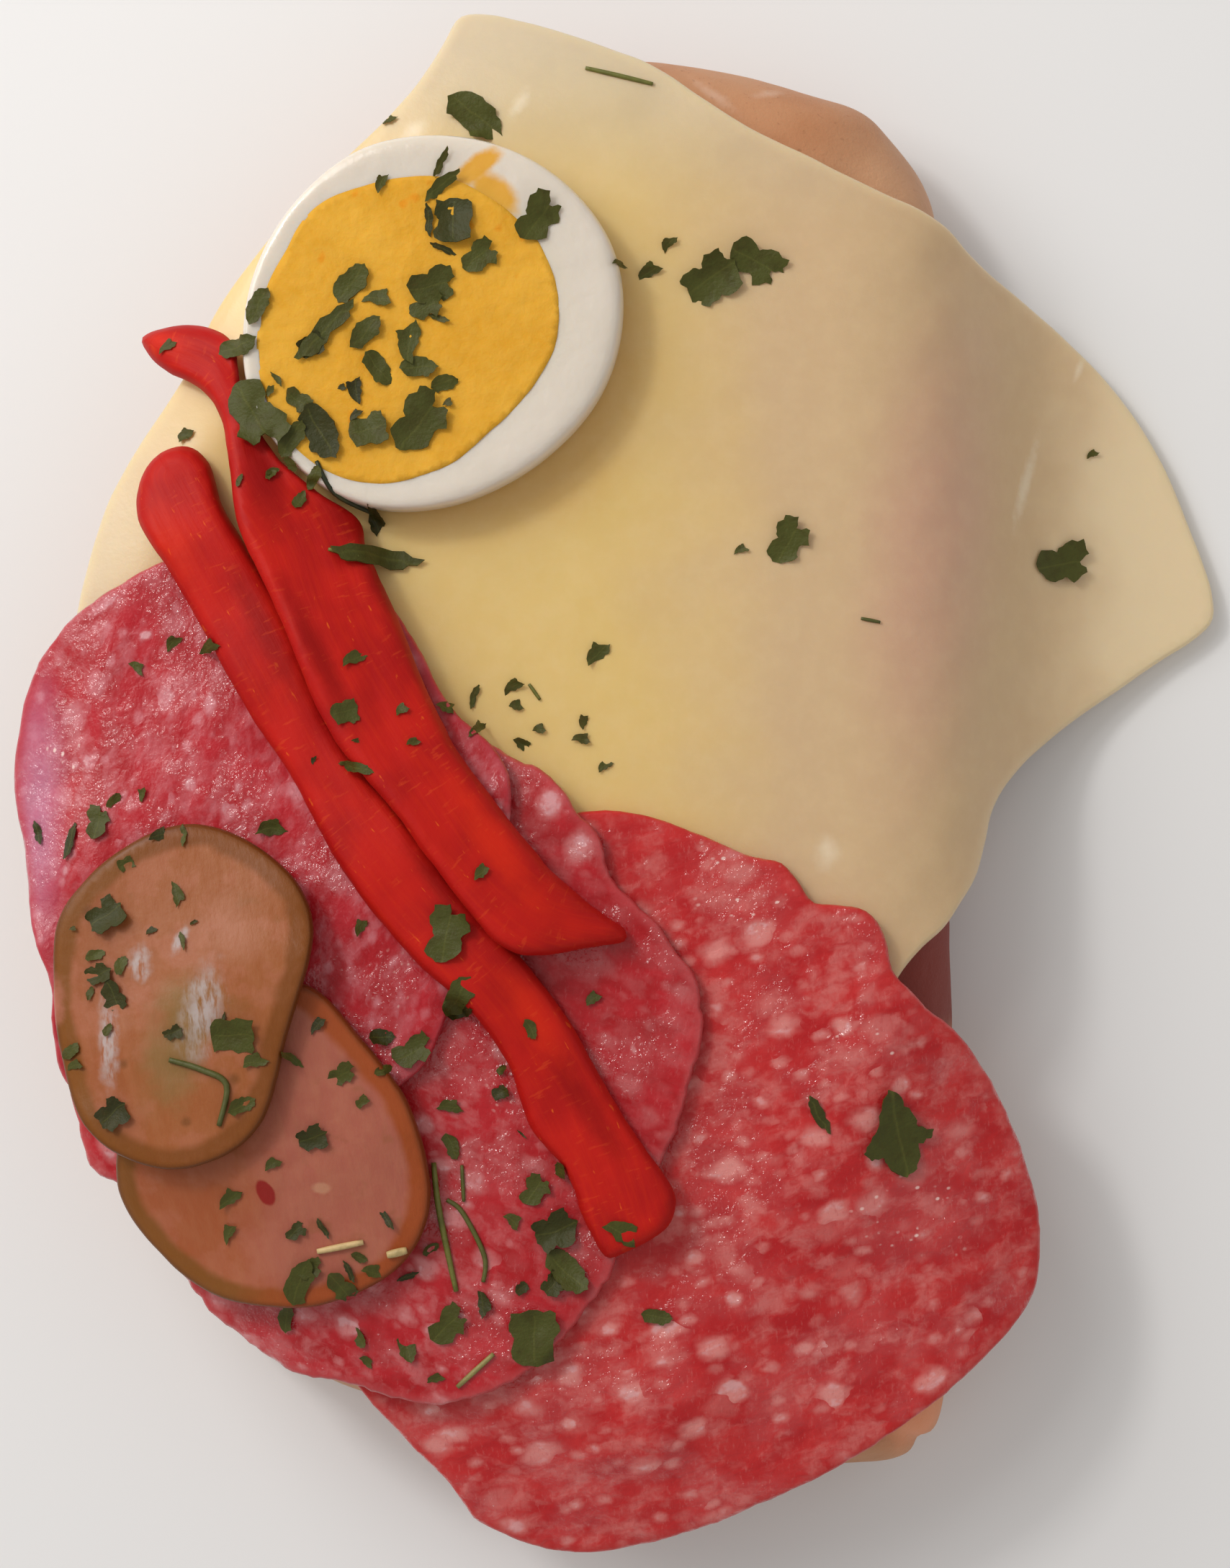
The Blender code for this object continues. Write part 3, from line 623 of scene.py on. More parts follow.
def lay(name, thickness, rounding, relief, fray, rim, spacing=0.8):
    """Lays a slice, in millimetres: fray is the size, amount and seed of its torn edge, and the
    solid's underside is read from the rim's width inwards."""
    global ground
    corners = outlines_of(name)[0]
    loop = smooth_loop(corners, spacing)
    depth = depth_inside(smooth_loop(corners, 2.0), X, Y)
    under = underside_of(name, depth, rim)
    under = np.where(depth > -NEAR, np.maximum(under, ground + LAYER_GAP), under)
    under = blurred(under, 2)
    thick = (thickness(depth) if callable(thickness) else thickness) * stretch_of(blurred(under, 4))
    piece = slab(name + "_slice", frayed(loop, *fray), depth, under, thick, rounding, relief, spacing)
    top = under + thick + relief(X, Y)
    ground = np.where(depth > -OVER, np.maximum(ground, top), ground)
    return piece

# %% [markdown]
# ## The cheese
# A slice of cheese is soft and heavy, so it bends over the roll and hangs free at the right. The
# solid piece has that bend already, and this one takes it over. Its surface waves by a tenth of a
# millimetre, which is just enough to break up the light.

# %% Lay the cheese
CHEESE_THICK = 2.4


def cheese_relief(x, y):
    return 0.10 * cloud(x, y, 16.0, 11) + 0.03 * cloud(x, y, 4.0, 12)


cheese = lay("cheese", CHEESE_THICK, rounding=0.55, relief=cheese_relief, fray=(9.0, 0.15, 13), rim=1.05)

# %% [markdown]
# ## Cheese under soft light
# Cheese is yellow in its middle and paler towards its edges: the right corner, the left side and the top
# are painted paler as sheen and light, and a thin pale band runs along the rim. The bend at the right is
# painted browner as shade, a warm painted shadow lies round the egg, and a few pale spots are painted
# highlights. Wide soft steps over the place give such changes, and subsurface light makes the slice look
# soft instead of painted.

# %% Colour the cheese
# Places of the painted highlights on the cheese.
PAINTED_CHEESE_HIGHLIGHTS = ((-0.8, 71.7, 2.6, 1.1, 60), (-12.2, 68.7, 2.4, 1.4, 40), (32.5, -9.4, 1.8, 2.6, 0),
                (55.4, 31.4, 7.0, 1.0, 74), (62.0, 45.0, 2.2, 0.6, 70))

recipe = Recipe("cheese")
x, y, _ = recipe.split()
right = recipe.calc("ADD", x, recipe.times(recipe.noise(16.0, 3.0), 16.0))
yellow = recipe.mix(recipe.step(recipe.noise(26.0, 3.0), 0.3, 0.7), seen(224, 193, 126), seen(219, 187, 117))
# Painted shade: the right side, where the slice bends down over the roll, turns browner, darkest along the
# bend.
yellow = recipe.paint(yellow, recipe.step(right, 14, 38), 0.9, seen(204, 174, 138))
yellow = recipe.dabs(yellow, [((44, 24, 36, 11, 84, 0.9, 0.3), 0.75, seen(206, 160, 137))])
# Painted sheen and light: the right corner, the left side and the top are made paler.
for value, start, full, amount, pale in ((right, 62, 76, 0.9, seen(232, 210, 172)),
                                         (x, -28, -50, 0.8, seen(208, 192, 166)),
                                         (y, 56, 80, 0.95, seen(204, 188, 160))):
    yellow = recipe.paint(yellow, recipe.step(value, start, full), amount, pale)
# A warm painted shadow on the cheese round the egg, reaching out furthest at its lower right.
yellow = recipe.dabs(yellow, [((-6.3, 43.5, 22.5, 22.5, 0, 0.32, 0.2), 0.45, seen(214, 164, 96))])
mottled = recipe.step(recipe.noise(2.2, 4.0, 0.6), 0.35, 0.75)
yellow = recipe.paint(yellow, mottled, 0.10, seen(236, 214, 170))
# Pale spots as painted highlights.
yellow = recipe.dabs(yellow, [((*spot, 1.0, 0.8), 0.45, seen(240, 228, 204)) for spot in PAINTED_CHEESE_HIGHLIGHTS])
rim = recipe.step(recipe.value("edge"), 1.6, 0.0)
yellow = recipe.paint(yellow, rim, 0.30, seen(228, 208, 168))
grain = recipe.bump(recipe.noise(7.0, 3.0), 0.10)
grain = recipe.bump(recipe.noise(0.5, 3.0, 0.6), 0.02, grain)
sheen = recipe.step(recipe.noise(11.0, 3.0), 0.3, 0.7, 0.34, 0.46)
cheese_look = recipe.finish(Base_Color=yellow, Normal=grain, Roughness=sheen,
                            Specular_IOR_Level=0.5, Subsurface_Weight=0.25,
                            Subsurface_Radius=(1.0, 0.6, 0.25), Subsurface_Scale=0.004)
put(cheese, cheese_look, "cheese", slot="cheese")

# %% [markdown]
# ## The egg slice
# An egg slice is stiff and flat, so it isn't laid on the height field. The white is a ring lofted
# between the egg's outer edge and the yolk's, both read from the solid pieces. The yolk is a disc
# with a crumbly top that runs a little way into the white, so that no gap opens between them. A
# sphere cut in two would do for a perfect egg, but the yolk of this one sits off its middle.

# %% Measure the egg slice
EGG_MIDDLE = np.array([-9.8, 47.0])
EGG_TURNS = np.linspace(0, 2 * math.pi, 300, endpoint=False)
WHITE_THICK, YOLK_THICK, YOLK_LIFT, YOLK_PAST_WHITE = 5.4, 5.32, 0.05, 0.35
WHITE_PROFILE = ((0.0, 0.0), (0.45, 0.0), (0.85, 0.0), (0.93, 0.06), (0.98, 0.22), (1.0, 0.45),
                 (0.995, 0.62), (0.975, 0.78), (0.94, 0.89), (0.88, 0.955), (0.8, 0.985),
                 (0.68, 1.0), (0.54, 1.0), (0.4, 0.995), (0.26, 0.99), (0.13, 0.985),
                 (0.05, 0.985), (0.0, 0.98))


def radii_of(name):
    """The distance of a node's outline from the egg's middle at even angles."""
    out = smooth_loop(outlines_of(name)[0], 0.5) - EGG_MIDDLE
    angle = np.arctan2(out[:, 1], out[:, 0])
    order = np.argsort(angle)
    return np.interp(EGG_TURNS, angle[order], np.hypot(*out.T)[order], period=2 * math.pi)


def round_loop(radius):
    """A loop round the egg's middle from its distances."""
    return EGG_MIDDLE + radius[:, None] * np.column_stack([np.cos(EGG_TURNS), np.sin(EGG_TURNS)])


# %% Functions for the white and the yolk
def make_white(outer, inner, low, high):
    """A closed ring: up the outer side, over the rounded top, down at the yolk and back below."""
    points, edge = [], []
    for share, rise in WHITE_PROFILE:
        loop = inner + (outer - inner) * share
        z = low + (high - low) * rise
        z = z + (0.10 * cloud(*loop.T, 7.0, 21) + 0.03 * cloud(*loop.T, 2.0, 22)) * (rise > 0.9)
        points.append(np.column_stack([loop, np.broadcast_to(z, len(loop))]))
        edge.append(np.hypot(*(outer - loop).T))
    n, rings, faces = len(outer), len(WHITE_PROFILE), []
    for a, b in ((k * n, (k + 1) % rings * n) for k in range(rings)):
        faces += [(a + k, a + (k + 1) % n, b + (k + 1) % n, b + k) for k in range(n)]
    return make_object("egg_white_slice", np.concatenate(points), faces, edge=np.concatenate(edge))


def yolk_relief(x, y):
    crumbs = 0.10 * cloud(x, y, 1.1, 31) + 0.08 * cloud(x, y, 2.6, 32)
    out = np.hypot(x - EGG_MIDDLE[0], y - EGG_MIDDLE[1])
    return crumbs + 0.12 * np.clip(1 - out / 17.0, 0, 1)


# %% Set the white and the yolk in place
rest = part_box("egg_yolk")[0].z / MM
egg_top = rest + WHITE_THICK
outer = round_loop(radii_of("egg_white"))
wave = cloud(np.cos(EGG_TURNS) * 9, np.sin(EGG_TURNS) * 9, 2.6, 23)
yolk_radius = radii_of("egg_yolk") + 0.14 + 0.28 * wave
white = make_white(outer, round_loop(yolk_radius), rest, egg_top)
level = np.full(X.shape, rest + YOLK_LIFT)
wide_yolk = round_loop(yolk_radius + YOLK_PAST_WHITE)
yolk = slab("egg_yolk_slice", wide_yolk, depth_inside(wide_yolk[::2], X, Y), level,
            np.full(X.shape, YOLK_THICK), 0.1, yolk_relief, 0.6)
ground = np.where(depth_inside(outer[::3], X, Y) > -0.2, egg_top + 0.08, ground)
yolk_top = level + YOLK_THICK + yolk_relief(X, Y)
ground = np.where(depth_inside(wide_yolk[::3], X, Y) > 0, yolk_top, ground)
print("the egg slice is", WHITE_THICK, "mm thick and starts", round(rest, 1), "mm up")

# %% [markdown]
# ## Egg white and yolk
# Cooked white is smooth, wet and slightly see-through, so it gets subsurface light and a clear coat.
# Yolk is dry and crumbly: fine noise for its grain, and no coat. A smear of yolk lies on the white
# at the top, as two soft spots of colour, and a warm painted shadow lies on the white's lower right.

# %% Colour the egg
SMEAR = seen(222, 166, 60)

recipe = Recipe("egg white")
tone = recipe.mix(recipe.noise(9.0, 3.0), seen(224, 214, 202), seen(216, 206, 190))
near_yolk = recipe.step(recipe.value("edge"), 4.5, 8.0)
tone = recipe.paint(tone, near_yolk, 0.12, seen(226, 200, 140))
# Two soft spots of yolk smear, then a warm painted shadow on the lower right of the white.
tone = recipe.dabs(tone, (((-5.2, 63.7, 4.2, 1.5, 38, 0.5), 1.0, SMEAR),
                          ((-3.4, 61.0, 3.8, 2.4, -40, 0.5), 1.0, SMEAR),
                          ((7.5, 36.5, 5.5, 2.2, 50, 0.9), 0.35, seen(214, 160, 110))))
grain = recipe.bump(recipe.noise(3.0, 3.0), 0.16)
grain = recipe.bump(recipe.noise(0.7, 2.0), 0.02, grain)
white_look = recipe.finish(Base_Color=tone, Normal=grain, Roughness=0.28, Coat_Weight=0.5,
                           Coat_Roughness=0.06, Coat_Normal=grain, Subsurface_Weight=0.5,
                           Subsurface_Radius=(1.0, 0.8, 0.6), Subsurface_Scale=0.002)
put(white, white_look, "egg_white", slot="egg_white")

recipe = Recipe("egg yolk")
tone = recipe.mix(recipe.step(recipe.noise(7.0, 3.0), 0.3, 0.7), seen(226, 170, 63), seen(218, 159, 53))
crumbs = recipe.noise(0.8, 3.0, 0.65)
tone = recipe.mix(recipe.step(crumbs, 0.3, 0.7, 0.0, 0.22), tone, seen(228, 180, 86))
tone = recipe.paint(tone, recipe.step(recipe.noise(3.4, 1.0), 0.70, 0.76), 0.7, seen(222, 140, 34))
grain = recipe.bump(crumbs, 0.10)
yolk_look = recipe.finish(Base_Color=tone, Normal=grain, Roughness=0.75, Specular_IOR_Level=0.25,
                          Subsurface_Weight=0.1, Subsurface_Scale=0.001)
put(yolk, yolk_look, "egg_yolk", slot="egg_yolk")

# %% [markdown]
# ## The salami
# The three slices overlap like tiles. Their surface is uneven where lean meat and fat meet, so the
# relief has soft lumps and small pits, and the rims are frayed; the middle slice tears the most.
# A height map could give the lumps, but noise that knows its size in millimetres fits all three.

# %% Lay the salami
SALAMI_THICK = 1.5
SALAMI_CUTS = (("lowest", 41, (2.2, 0.14, 44)), ("middle", 51, (1.9, 0.34, 54)),
               ("highest", 61, (2.6, 0.16, 64)))


def salami_relief(seed):
    def relief(x, y):
        lumps = 0.12 * cloud(x, y, 3.2, seed) + 0.06 * cloud(x, y, 1.3, seed + 1)
        return lumps + 0.12 * cloud(x, y, 8.0, seed + 2)
    return relief


salami = {name: lay("salami_" + name, SALAMI_THICK, rounding=0.45, relief=salami_relief(seed),
                    fray=fray, rim=0.65)
          for name, seed, fray in SALAMI_CUTS}

# %% [markdown]
# ## Salami meat
# Salami is lean meat with pieces of fat in it. The fat is drawn by two sizes of Voronoi cells whose
# places are pushed about by noise, and finer noise mottles the lean parts. The largest pieces of fat
# are named spots. A thin coat over a finely bumped surface makes the meat look wet, and on the wettest
# spots small pale dots are painted on as glints. A lilac sheen is painted along the left edge of the
# highest slice.

# %% Place the fat
FAT_SPOTS = {
    "lowest": ((34.0, -28.0, 1.8, 1.4, 0), (40.3, -34.5, 1.7, 1.4, 40), (4.5, -71.0, 1.3, 1.1, 0),
               (37.5, -42.5, 1.3, 1.8, 10), (22.3, -57.4, 1.4, 1.2, 0), (12.0, -39.5, 1.8, 1.0, 20),
               (18.0, -53.0, 1.6, 1.2, 10), (9.0, -60.5, 1.7, 1.2, 20), (30.0, -63.0, 1.8, 1.1, 25)),
    "middle": ((2.5, -4.2, 2.0, 2.6, -20), (5.6, -8.8, 2.2, 2.8, -35), (11.5, -30.4, 0.5, 0.9, 15),
               (-45.5, -41.2, 1.5, 2.6, 20)),
    "highest": ((-45.6, 17.4, 2.6, 1.0, 35), (-41.0, 14.0, 1.2, 0.8, 30), (-36.0, -2.0, 1.0, 1.2, 0),
                (-34.0, 6.5, 1.0, 1.8, -10), (-24.5, -3.0, 1.2, 1.4, 0)),
}
LEANER_END = {"lowest": (1, 2.0, -26.0, 0.55), "middle": (0, 6.0, -10.0, 0.4)}


def salami_fat(recipe, name, size, here, bent):
    """How much fat shows, from 0 to 1: round pieces of two sizes, soft clouds and the named spots."""
    pieces = []
    small = recipe.warped(1.4 * size, 1.2 * size, here)
    for width, place, spread, channel, most, sharp in ((4.4, bent, 0.85, 0, 0.8, 0.16),
                                                       (2.2, small, 0.9, 1, 0.85, 0.08)):
        cells = recipe.cells(width * size, place, spread)
        chosen = recipe.step(recipe.split(cells["Color"])[channel], 0.45, most)
        pieces.append(recipe.times(recipe.step(cells["Distance"], 0.52, sharp), chosen))
    clouds = recipe.step(recipe.noise(3.4 * size, 4.0, 0.6, bent), 0.44, 0.72)
    fatty = recipe.larger(pieces[0], recipe.times(pieces[1], 0.75))
    fatty = recipe.larger(fatty, recipe.times(clouds, 0.52))
    if name in LEANER_END:
        axis, start, full, least = LEANER_END[name]
        fatty = recipe.times(fatty, recipe.step(recipe.split()[axis], start, full, least, 1.0))
    for spot in FAT_SPOTS[name]:
        fatty = recipe.larger(fatty, recipe.spot(*spot, 0.8, 0.7))
    return fatty


# %% Wet the meat and paint glints
WET_AND_GLINT_SPOTS = {
    "lowest": ((42.0, -49.5, 10.0, 7.0, 0), (23.0, -13.5, 10.0, 6.0, -35), (36.0, -30.0, 7.0, 4.0, 20)),
    "middle": ((-1.0, -33.0, 6.0, 3.0, 60),),
    "highest": ((-14.5, -23.5, 5.0, 3.0, 60), (-50.0, 2.0, 3.0, 8.0, 0)),
}


def wetten_and_paint_glints(recipe, name, colour, here):
    """Where the meat is wet, and its colour with small painted glints on the wettest spots."""
    wet = recipe.step(recipe.noise(7.0, 3.0), 0.44, 0.60)
    glint_cells = recipe.cells(0.9, here)
    chosen = recipe.step(recipe.split(glint_cells["Color"])[0], 0.45, 0.55)
    chosen = recipe.times(chosen, recipe.step(recipe.noise(2.6, 3.0), 0.46, 0.58))
    glints = recipe.times(recipe.step(glint_cells["Distance"], 0.32, 0.12), chosen)
    for spot in WET_AND_GLINT_SPOTS[name]:
        wet_and_glint_pool = recipe.spot(*spot, 0.6, 0.8)
        wet = recipe.larger(wet, wet_and_glint_pool)
        # Painted glints: small pale dots on the wettest spots.
        colour = recipe.paint(colour, recipe.times(glints, wet_and_glint_pool), 0.8, seen(246, 214, 206))
    return wet, colour


# %% Colour the salami
MEATS = {
    "lowest": {"lean": seen(194, 56, 56), "dark": seen(176, 42, 45), "fat": seen(214, 134, 128),
               "rim": seen(186, 50, 48), "size": 1.0, "turn": 15, "move": 0},
    "middle": {"lean": seen(184, 48, 54), "dark": seen(164, 36, 42), "fat": seen(202, 124, 124),
               "rim": seen(188, 84, 86), "size": 0.82, "turn": -30, "move": 31},
    "highest": {"lean": seen(182, 46, 54), "dark": seen(166, 36, 44), "fat": seen(202, 124, 130),
                "rim": seen(178, 66, 74), "size": 0.85, "turn": 70, "move": 57},
}


def salami_look(name, lean, dark, fat, rim, size, turn, move):
    """Salami with its own tones and grain size; turn and move give each slice its own pattern."""
    recipe = Recipe(name + " salami")
    here = recipe.vector("ADD", recipe.stretched((1.2, 0.85, 1.0), turn), (move, 2 * move, 0))
    bent = recipe.warped(2.4 * size, 2.2 * size, here)
    fatty = salami_fat(recipe, name, size, here, bent)
    meat = recipe.mix(recipe.step(recipe.noise(5.0 * size, 3.0, 0.5, bent), 0.3, 0.7), dark, lean)
    colour = recipe.mix(fatty, meat, fat)
    streaks = recipe.noise(0.75, 4.0, 0.65, recipe.stretched((0.5, 1.5, 1.0), turn / 3))
    colour = recipe.paint(colour, recipe.step(streaks, 0.55, 0.72), 0.22, fat)
    colour = recipe.paint(colour, recipe.step(streaks, 0.46, 0.32), 0.30, dark)
    pale = recipe.times(recipe.step(fatty, 0.5, 0.9),
                        recipe.step(recipe.noise(2.2, 3.0, 0.6, here), 0.48, 0.62))
    colour = recipe.paint(colour, pale, 0.45, seen(220, 178, 182))
    # A painted lilac sheen along the left edge of the highest slice, where it bends down over the roll.
    if name == "highest":
        colour = recipe.dabs(colour, [((-52.8, -5.0, 4.4, 19.0, 0, 0.95), 0.5, seen(188, 140, 172))])
    colour = recipe.paint(colour, recipe.step(recipe.value("edge"), 1.4, 0.2), 0.55, rim)
    grain = recipe.bump(recipe.noise(2.4, 3.0, 0.5, bent), 0.22)
    wet, colour = wetten_and_paint_glints(recipe, name, colour, here)
    grain = recipe.bump(recipe.noise(0.5, 3.0, 0.6), 0.05, grain)
    film = recipe.bump(recipe.times(recipe.noise(0.85, 2.0, 0.6), wet), 0.55, grain)
    rough = recipe.step(recipe.noise(1.4, 3.0), 0.3, 0.7, 0.32, 0.46)
    return recipe.finish(Base_Color=colour, Normal=grain, Roughness=rough, Specular_IOR_Level=0.28,
                         Coat_Weight=recipe.step(wet, 0.0, 1.0, 0.15, 0.95), Coat_Roughness=0.06,
                         Coat_Normal=film, Subsurface_Weight=0.12,
                         Subsurface_Radius=(1.0, 0.3, 0.2), Subsurface_Scale=0.0015)


for name, piece in salami.items():
    put(piece, salami_look(name, **MEATS[name]), "salami_" + name, slot="salami")

# %% [markdown]
# ## The pepper strips
# A strip of raw pepper is thick and domed along its middle. Its fibres run along it, so each vertex
# keeps its distance along and across a centre line, and the material draws the fibres with noise
# that is stretched along the strip.

# %% Functions for the pepper strips
PEPPER_THICK, PEPPER_DOME, PEPPER_EDGE = 2.7, 1.7, 0.52
PEPPER_MIDDLES = {
    "long": ((-38, 31), (-33, 22), (-26, 9), (-19, -3.5), (-11.5, -13), (-4.5, -21),
             (0.5, -27.5), (4.5, -34), (8.5, -42), (11.5, -51)),
    "hooked": ((-39, 44.8), (-34, 42.5), (-31.5, 38), (-29.5, 31), (-25, 24), (-21.5, 15),
               (-16.5, 6), (-10.5, -3), (-4.5, -11), (2, -16.5), (9, -18.2)),
}


def along_and_across(line, x, y):
    """The distance along a line to the point nearest each place, and the distance to its side."""
    line = smooth_line(line)
    best = np.full(len(x), np.inf)
    along, across = np.zeros(len(x)), np.zeros(len(x))
    run = 0.0
    for start, end in zip(line, line[1:]):
        share, out_x, out_y = from_nearest(x, y, start, end)
        far, length = np.hypot(out_x, out_y), math.hypot(*(end - start))
        side = np.sign((x - start[0]) * (end[1] - start[1]) - (y - start[1]) * (end[0] - start[0]))
        nearer = far < best
        best = np.where(nearer, far, best)
        along = np.where(nearer, run + share * length, along)
        across = np.where(nearer, far * side, across)
        run += length
    return along, across


def pepper_thickness(depth):
    """Thick and domed inside, thinner at the rim."""
    share = np.clip(depth / PEPPER_DOME, 0.0, 1.0)
    dome = np.sqrt(np.maximum(1 - (1 - share) ** 2, 0.0))
    return PEPPER_THICK * (PEPPER_EDGE + (1 - PEPPER_EDGE) * dome)


def pepper_relief(line, seed):
    def relief(x, y):
        flat_x, flat_y = np.ravel(x), np.ravel(y)
        along, across = along_and_across(line, flat_x, flat_y)
        folds = 0.14 * cloud(along / 3.5, across, 2.2, seed) + 0.06 * cloud(along / 5, across, 0.9, seed)
        return (folds + 0.15 * cloud(flat_x, flat_y, 9.0, seed + 1)).reshape(np.shape(x))
    return relief


def lay_pepper(name, line, seed):
    """Lays a strip and keeps, on its vertices, where they are along and across it."""
    piece = lay(name, pepper_thickness, rounding=0.7, relief=pepper_relief(line, seed),
                fray=(4.0, 0.12, seed + 2), rim=0.85, spacing=0.6)
    x, y, _ = read_vertices(piece.data, "co").T / MM
    for key, value in zip(("along", "across"), along_and_across(line, x, y)):
        piece.data.attributes.new(key, "FLOAT", "POINT").data.foreach_set("value", value)
    return piece


# %% Lay the pepper strips
peppers = {name: lay_pepper("pepper_" + name, PEPPER_MIDDLES[name], seed)
           for name, seed in (("long", 71), ("hooked", 81))}

# %% [markdown]
# ## Pepper skin
# Raw pepper is glossy outside and matt where it is cut. Here the cut side shows: red flesh with
# fibres, short pale hatches across them and orange spots. A strip's own two values, along and
# across, carry the pattern round every bend, which plain coordinates could not do.

# %% Colour the pepper
PEPPER_SHADE = {
    "long": ((-27.5, 14.0, 13.0, 2.2, -62), (6.5, -36.0, 12.0, 2.5, -58), (-9.0, -12.5, 8.0, 1.8, -50)),
    "hooked": ((-28.0, 30.5, 9.0, 2.6, -70), (-22.0, 12.0, 12.0, 1.8, -62),
               (-19.5, 26.5, 6.0, 2.6, -58), (-15.5, 19.5, 6.0, 2.0, -62)),
}
PEPPER_LIGHT = {
    "long": ((-38.0, 24.0, 6.0, 3.5, -60), (1.0, -27.0, 9.0, 2.4, -56)),
    "hooked": ((-3.5, -8.0, 13.0, 2.6, -55), (-39.0, 45.5, 5.0, 2.0, -20)),
}


def pepper_look(name, move):
    """Red flesh with fibres along the strip; the move gives each strip a pattern of its own."""
    recipe = Recipe(name + " pepper")
    line = recipe.add("ShaderNodeCombineXYZ", {0: recipe.value("along"), 1: recipe.value("across"),
                                               2: move})[0]
    fibres = recipe.noise(1.0, 4.0, 0.6, recipe.stretched((7.0, 0.5, 1.0), 0, line))
    tone = recipe.mix(recipe.step(recipe.noise(7.0, 2.0), 0.3, 0.7), seen(190, 42, 37, gloss=0.012),
                      seen(168, 37, 36, gloss=0.012))
    tone = recipe.paint(tone, recipe.step(fibres, 0.4, 0.8), 0.25, seen(208, 62, 34))
    spots = recipe.noise(0.9, 2.0, 0.6, recipe.stretched((2.2, 0.7, 1.0), 0, line))
    tone = recipe.paint(tone, recipe.step(spots, 0.68, 0.76), 0.6, seen(226, 104, 48))
    # Painted shade: darker red spots along the strips' shaded sides and borders. Painted light: brighter red
    # spots where the strips face the light.
    tone = recipe.dabs(tone, [((*spot, 0.9, 0.5), 0.7, seen(138, 34, 36)) for spot in PEPPER_SHADE[name]])
    light = seen(214, 54, 36, gloss=0.012)
    tone = recipe.dabs(tone, [((*spot, 0.9, 0.6), 0.55, light) for spot in PEPPER_LIGHT[name]])
    hatch = recipe.noise(1.0, 2.0, 0.5, recipe.stretched((0.45, 2.2, 1.0), 0, line))
    hatch = recipe.times(recipe.step(hatch, 0.58, 0.68), recipe.step(recipe.noise(5.0, 2.0), 0.45, 0.6))
    tone = recipe.paint(tone, hatch, 0.22, seen(226, 92, 52))
    tone = recipe.paint(tone, recipe.step(recipe.value("edge"), 1.2, 0.2), 0.35, seen(158, 30, 30))
    grain = recipe.bump(fibres, 0.05)
    grain = recipe.bump(recipe.noise(0.5, 2.0), 0.02, grain)
    return recipe.finish(Base_Color=tone, Normal=grain, Roughness=0.5, Specular_IOR_Level=0.14,
                         Subsurface_Weight=0.1,
                         Subsurface_Radius=(1.0, 0.15, 0.08), Subsurface_Scale=0.002)


for name, move in (("long", 3.0), ("hooked", 17.0)):
    put(peppers[name], pepper_look(name, move), "pepper_" + name, slot="pepper")

# %% [markdown]
# ## The gherkin slices
# A gherkin slice is soft and wet, a little raised where its seeds are. It is laid like the salami,
# because it bends over what is below it in the same way, and only its rim is rounder.

# %% Lay the gherkin slices
def gherkin_relief(seed, middle):
    def relief(x, y):
        out = np.hypot((x - middle[0]) / 6.5, (y - middle[1]) / 9.5)
        seeds = 0.22 * np.clip(1.2 - out, 0, 1) * cloud(x, y, 2.2, seed)
        return seeds + 0.10 * cloud(x, y, 5.0, seed + 1)
    return relief


gherkins = {}
for name, thick, middle, seed in (("lower", 2.6, (-27.0, -41.0), 91), ("upper", 2.3, (-37.5, -27.0), 95)):
    gherkins[name] = lay("gherkin_" + name, thick, rounding=0.4, relief=gherkin_relief(seed, middle),
                         fray=(5.0, 0.10, seed + 2), rim=1.15, spacing=0.7)

# %% [markdown]
# ## Gherkin flesh and skin
# Pickled flesh lets the meat below shine through, so its colour is a warm brown green and not a
# clear green. Real see-through flesh would need light to pass the whole slice; painting what shines
# through looks the same and renders faster. The skin follows the distance from the edge that each
# vertex keeps.

# %% Functions for gherkin flesh
def gherkin_tones(recipe, flesh, second, change_from, change_to, skin, second_skin):
    """Flesh that changes from left to right, with fibres, inside a soft darker ring of skin."""
    edge = recipe.value("edge")
    x = recipe.calc("ADD", recipe.split()[0], recipe.times(recipe.noise(6.0), 8.0))
    across = recipe.step(x, change_from, change_to)
    tone = recipe.mix(across, flesh, second)
    fibres = recipe.noise(1.0, 4.0, 0.6, recipe.stretched((1.2, 4.5, 1.0), 12))
    for mask, start, full, amount, colour in (
            (fibres, 0.35, 0.75, 0.16, seen(184, 130, 96)),
            (recipe.noise(4.5, 4.0, 0.6), 0.46, 0.60, 0.30, seen(178, 114, 92)),
            (recipe.noise(3.2, 3.0), 0.58, 0.72, 0.25, seen(124, 86, 46))):
        tone = recipe.paint(tone, recipe.step(mask, start, full), amount, colour)
    ragged = recipe.calc("ADD", edge, recipe.times(recipe.noise(4.0, 2.0), 1.4))
    peel = recipe.mix(across, second_skin, skin)
    tone = recipe.paint(tone, recipe.step(ragged, 3.5, 2.4), 0.85, peel)
    tone = recipe.paint(tone, recipe.step(edge, 0.8, 0.1), 0.55, seen(90, 56, 28))
    return tone, fibres


def wet_flesh(recipe, tone, fibres):
    """Finishes a gherkin: fine wet bumps, a thin coat and some light passing through."""
    grain = recipe.bump(fibres, 0.10)
    grain = recipe.bump(recipe.noise(1.2, 3.0), 0.05, grain)
    return recipe.finish(Base_Color=tone, Normal=grain, Roughness=0.46, Specular_IOR_Level=0.25,
                         Coat_Weight=0.04, Coat_Roughness=0.2, Subsurface_Weight=0.15,
                         Subsurface_Radius=(1.0, 0.5, 0.2), Subsurface_Scale=0.0015)


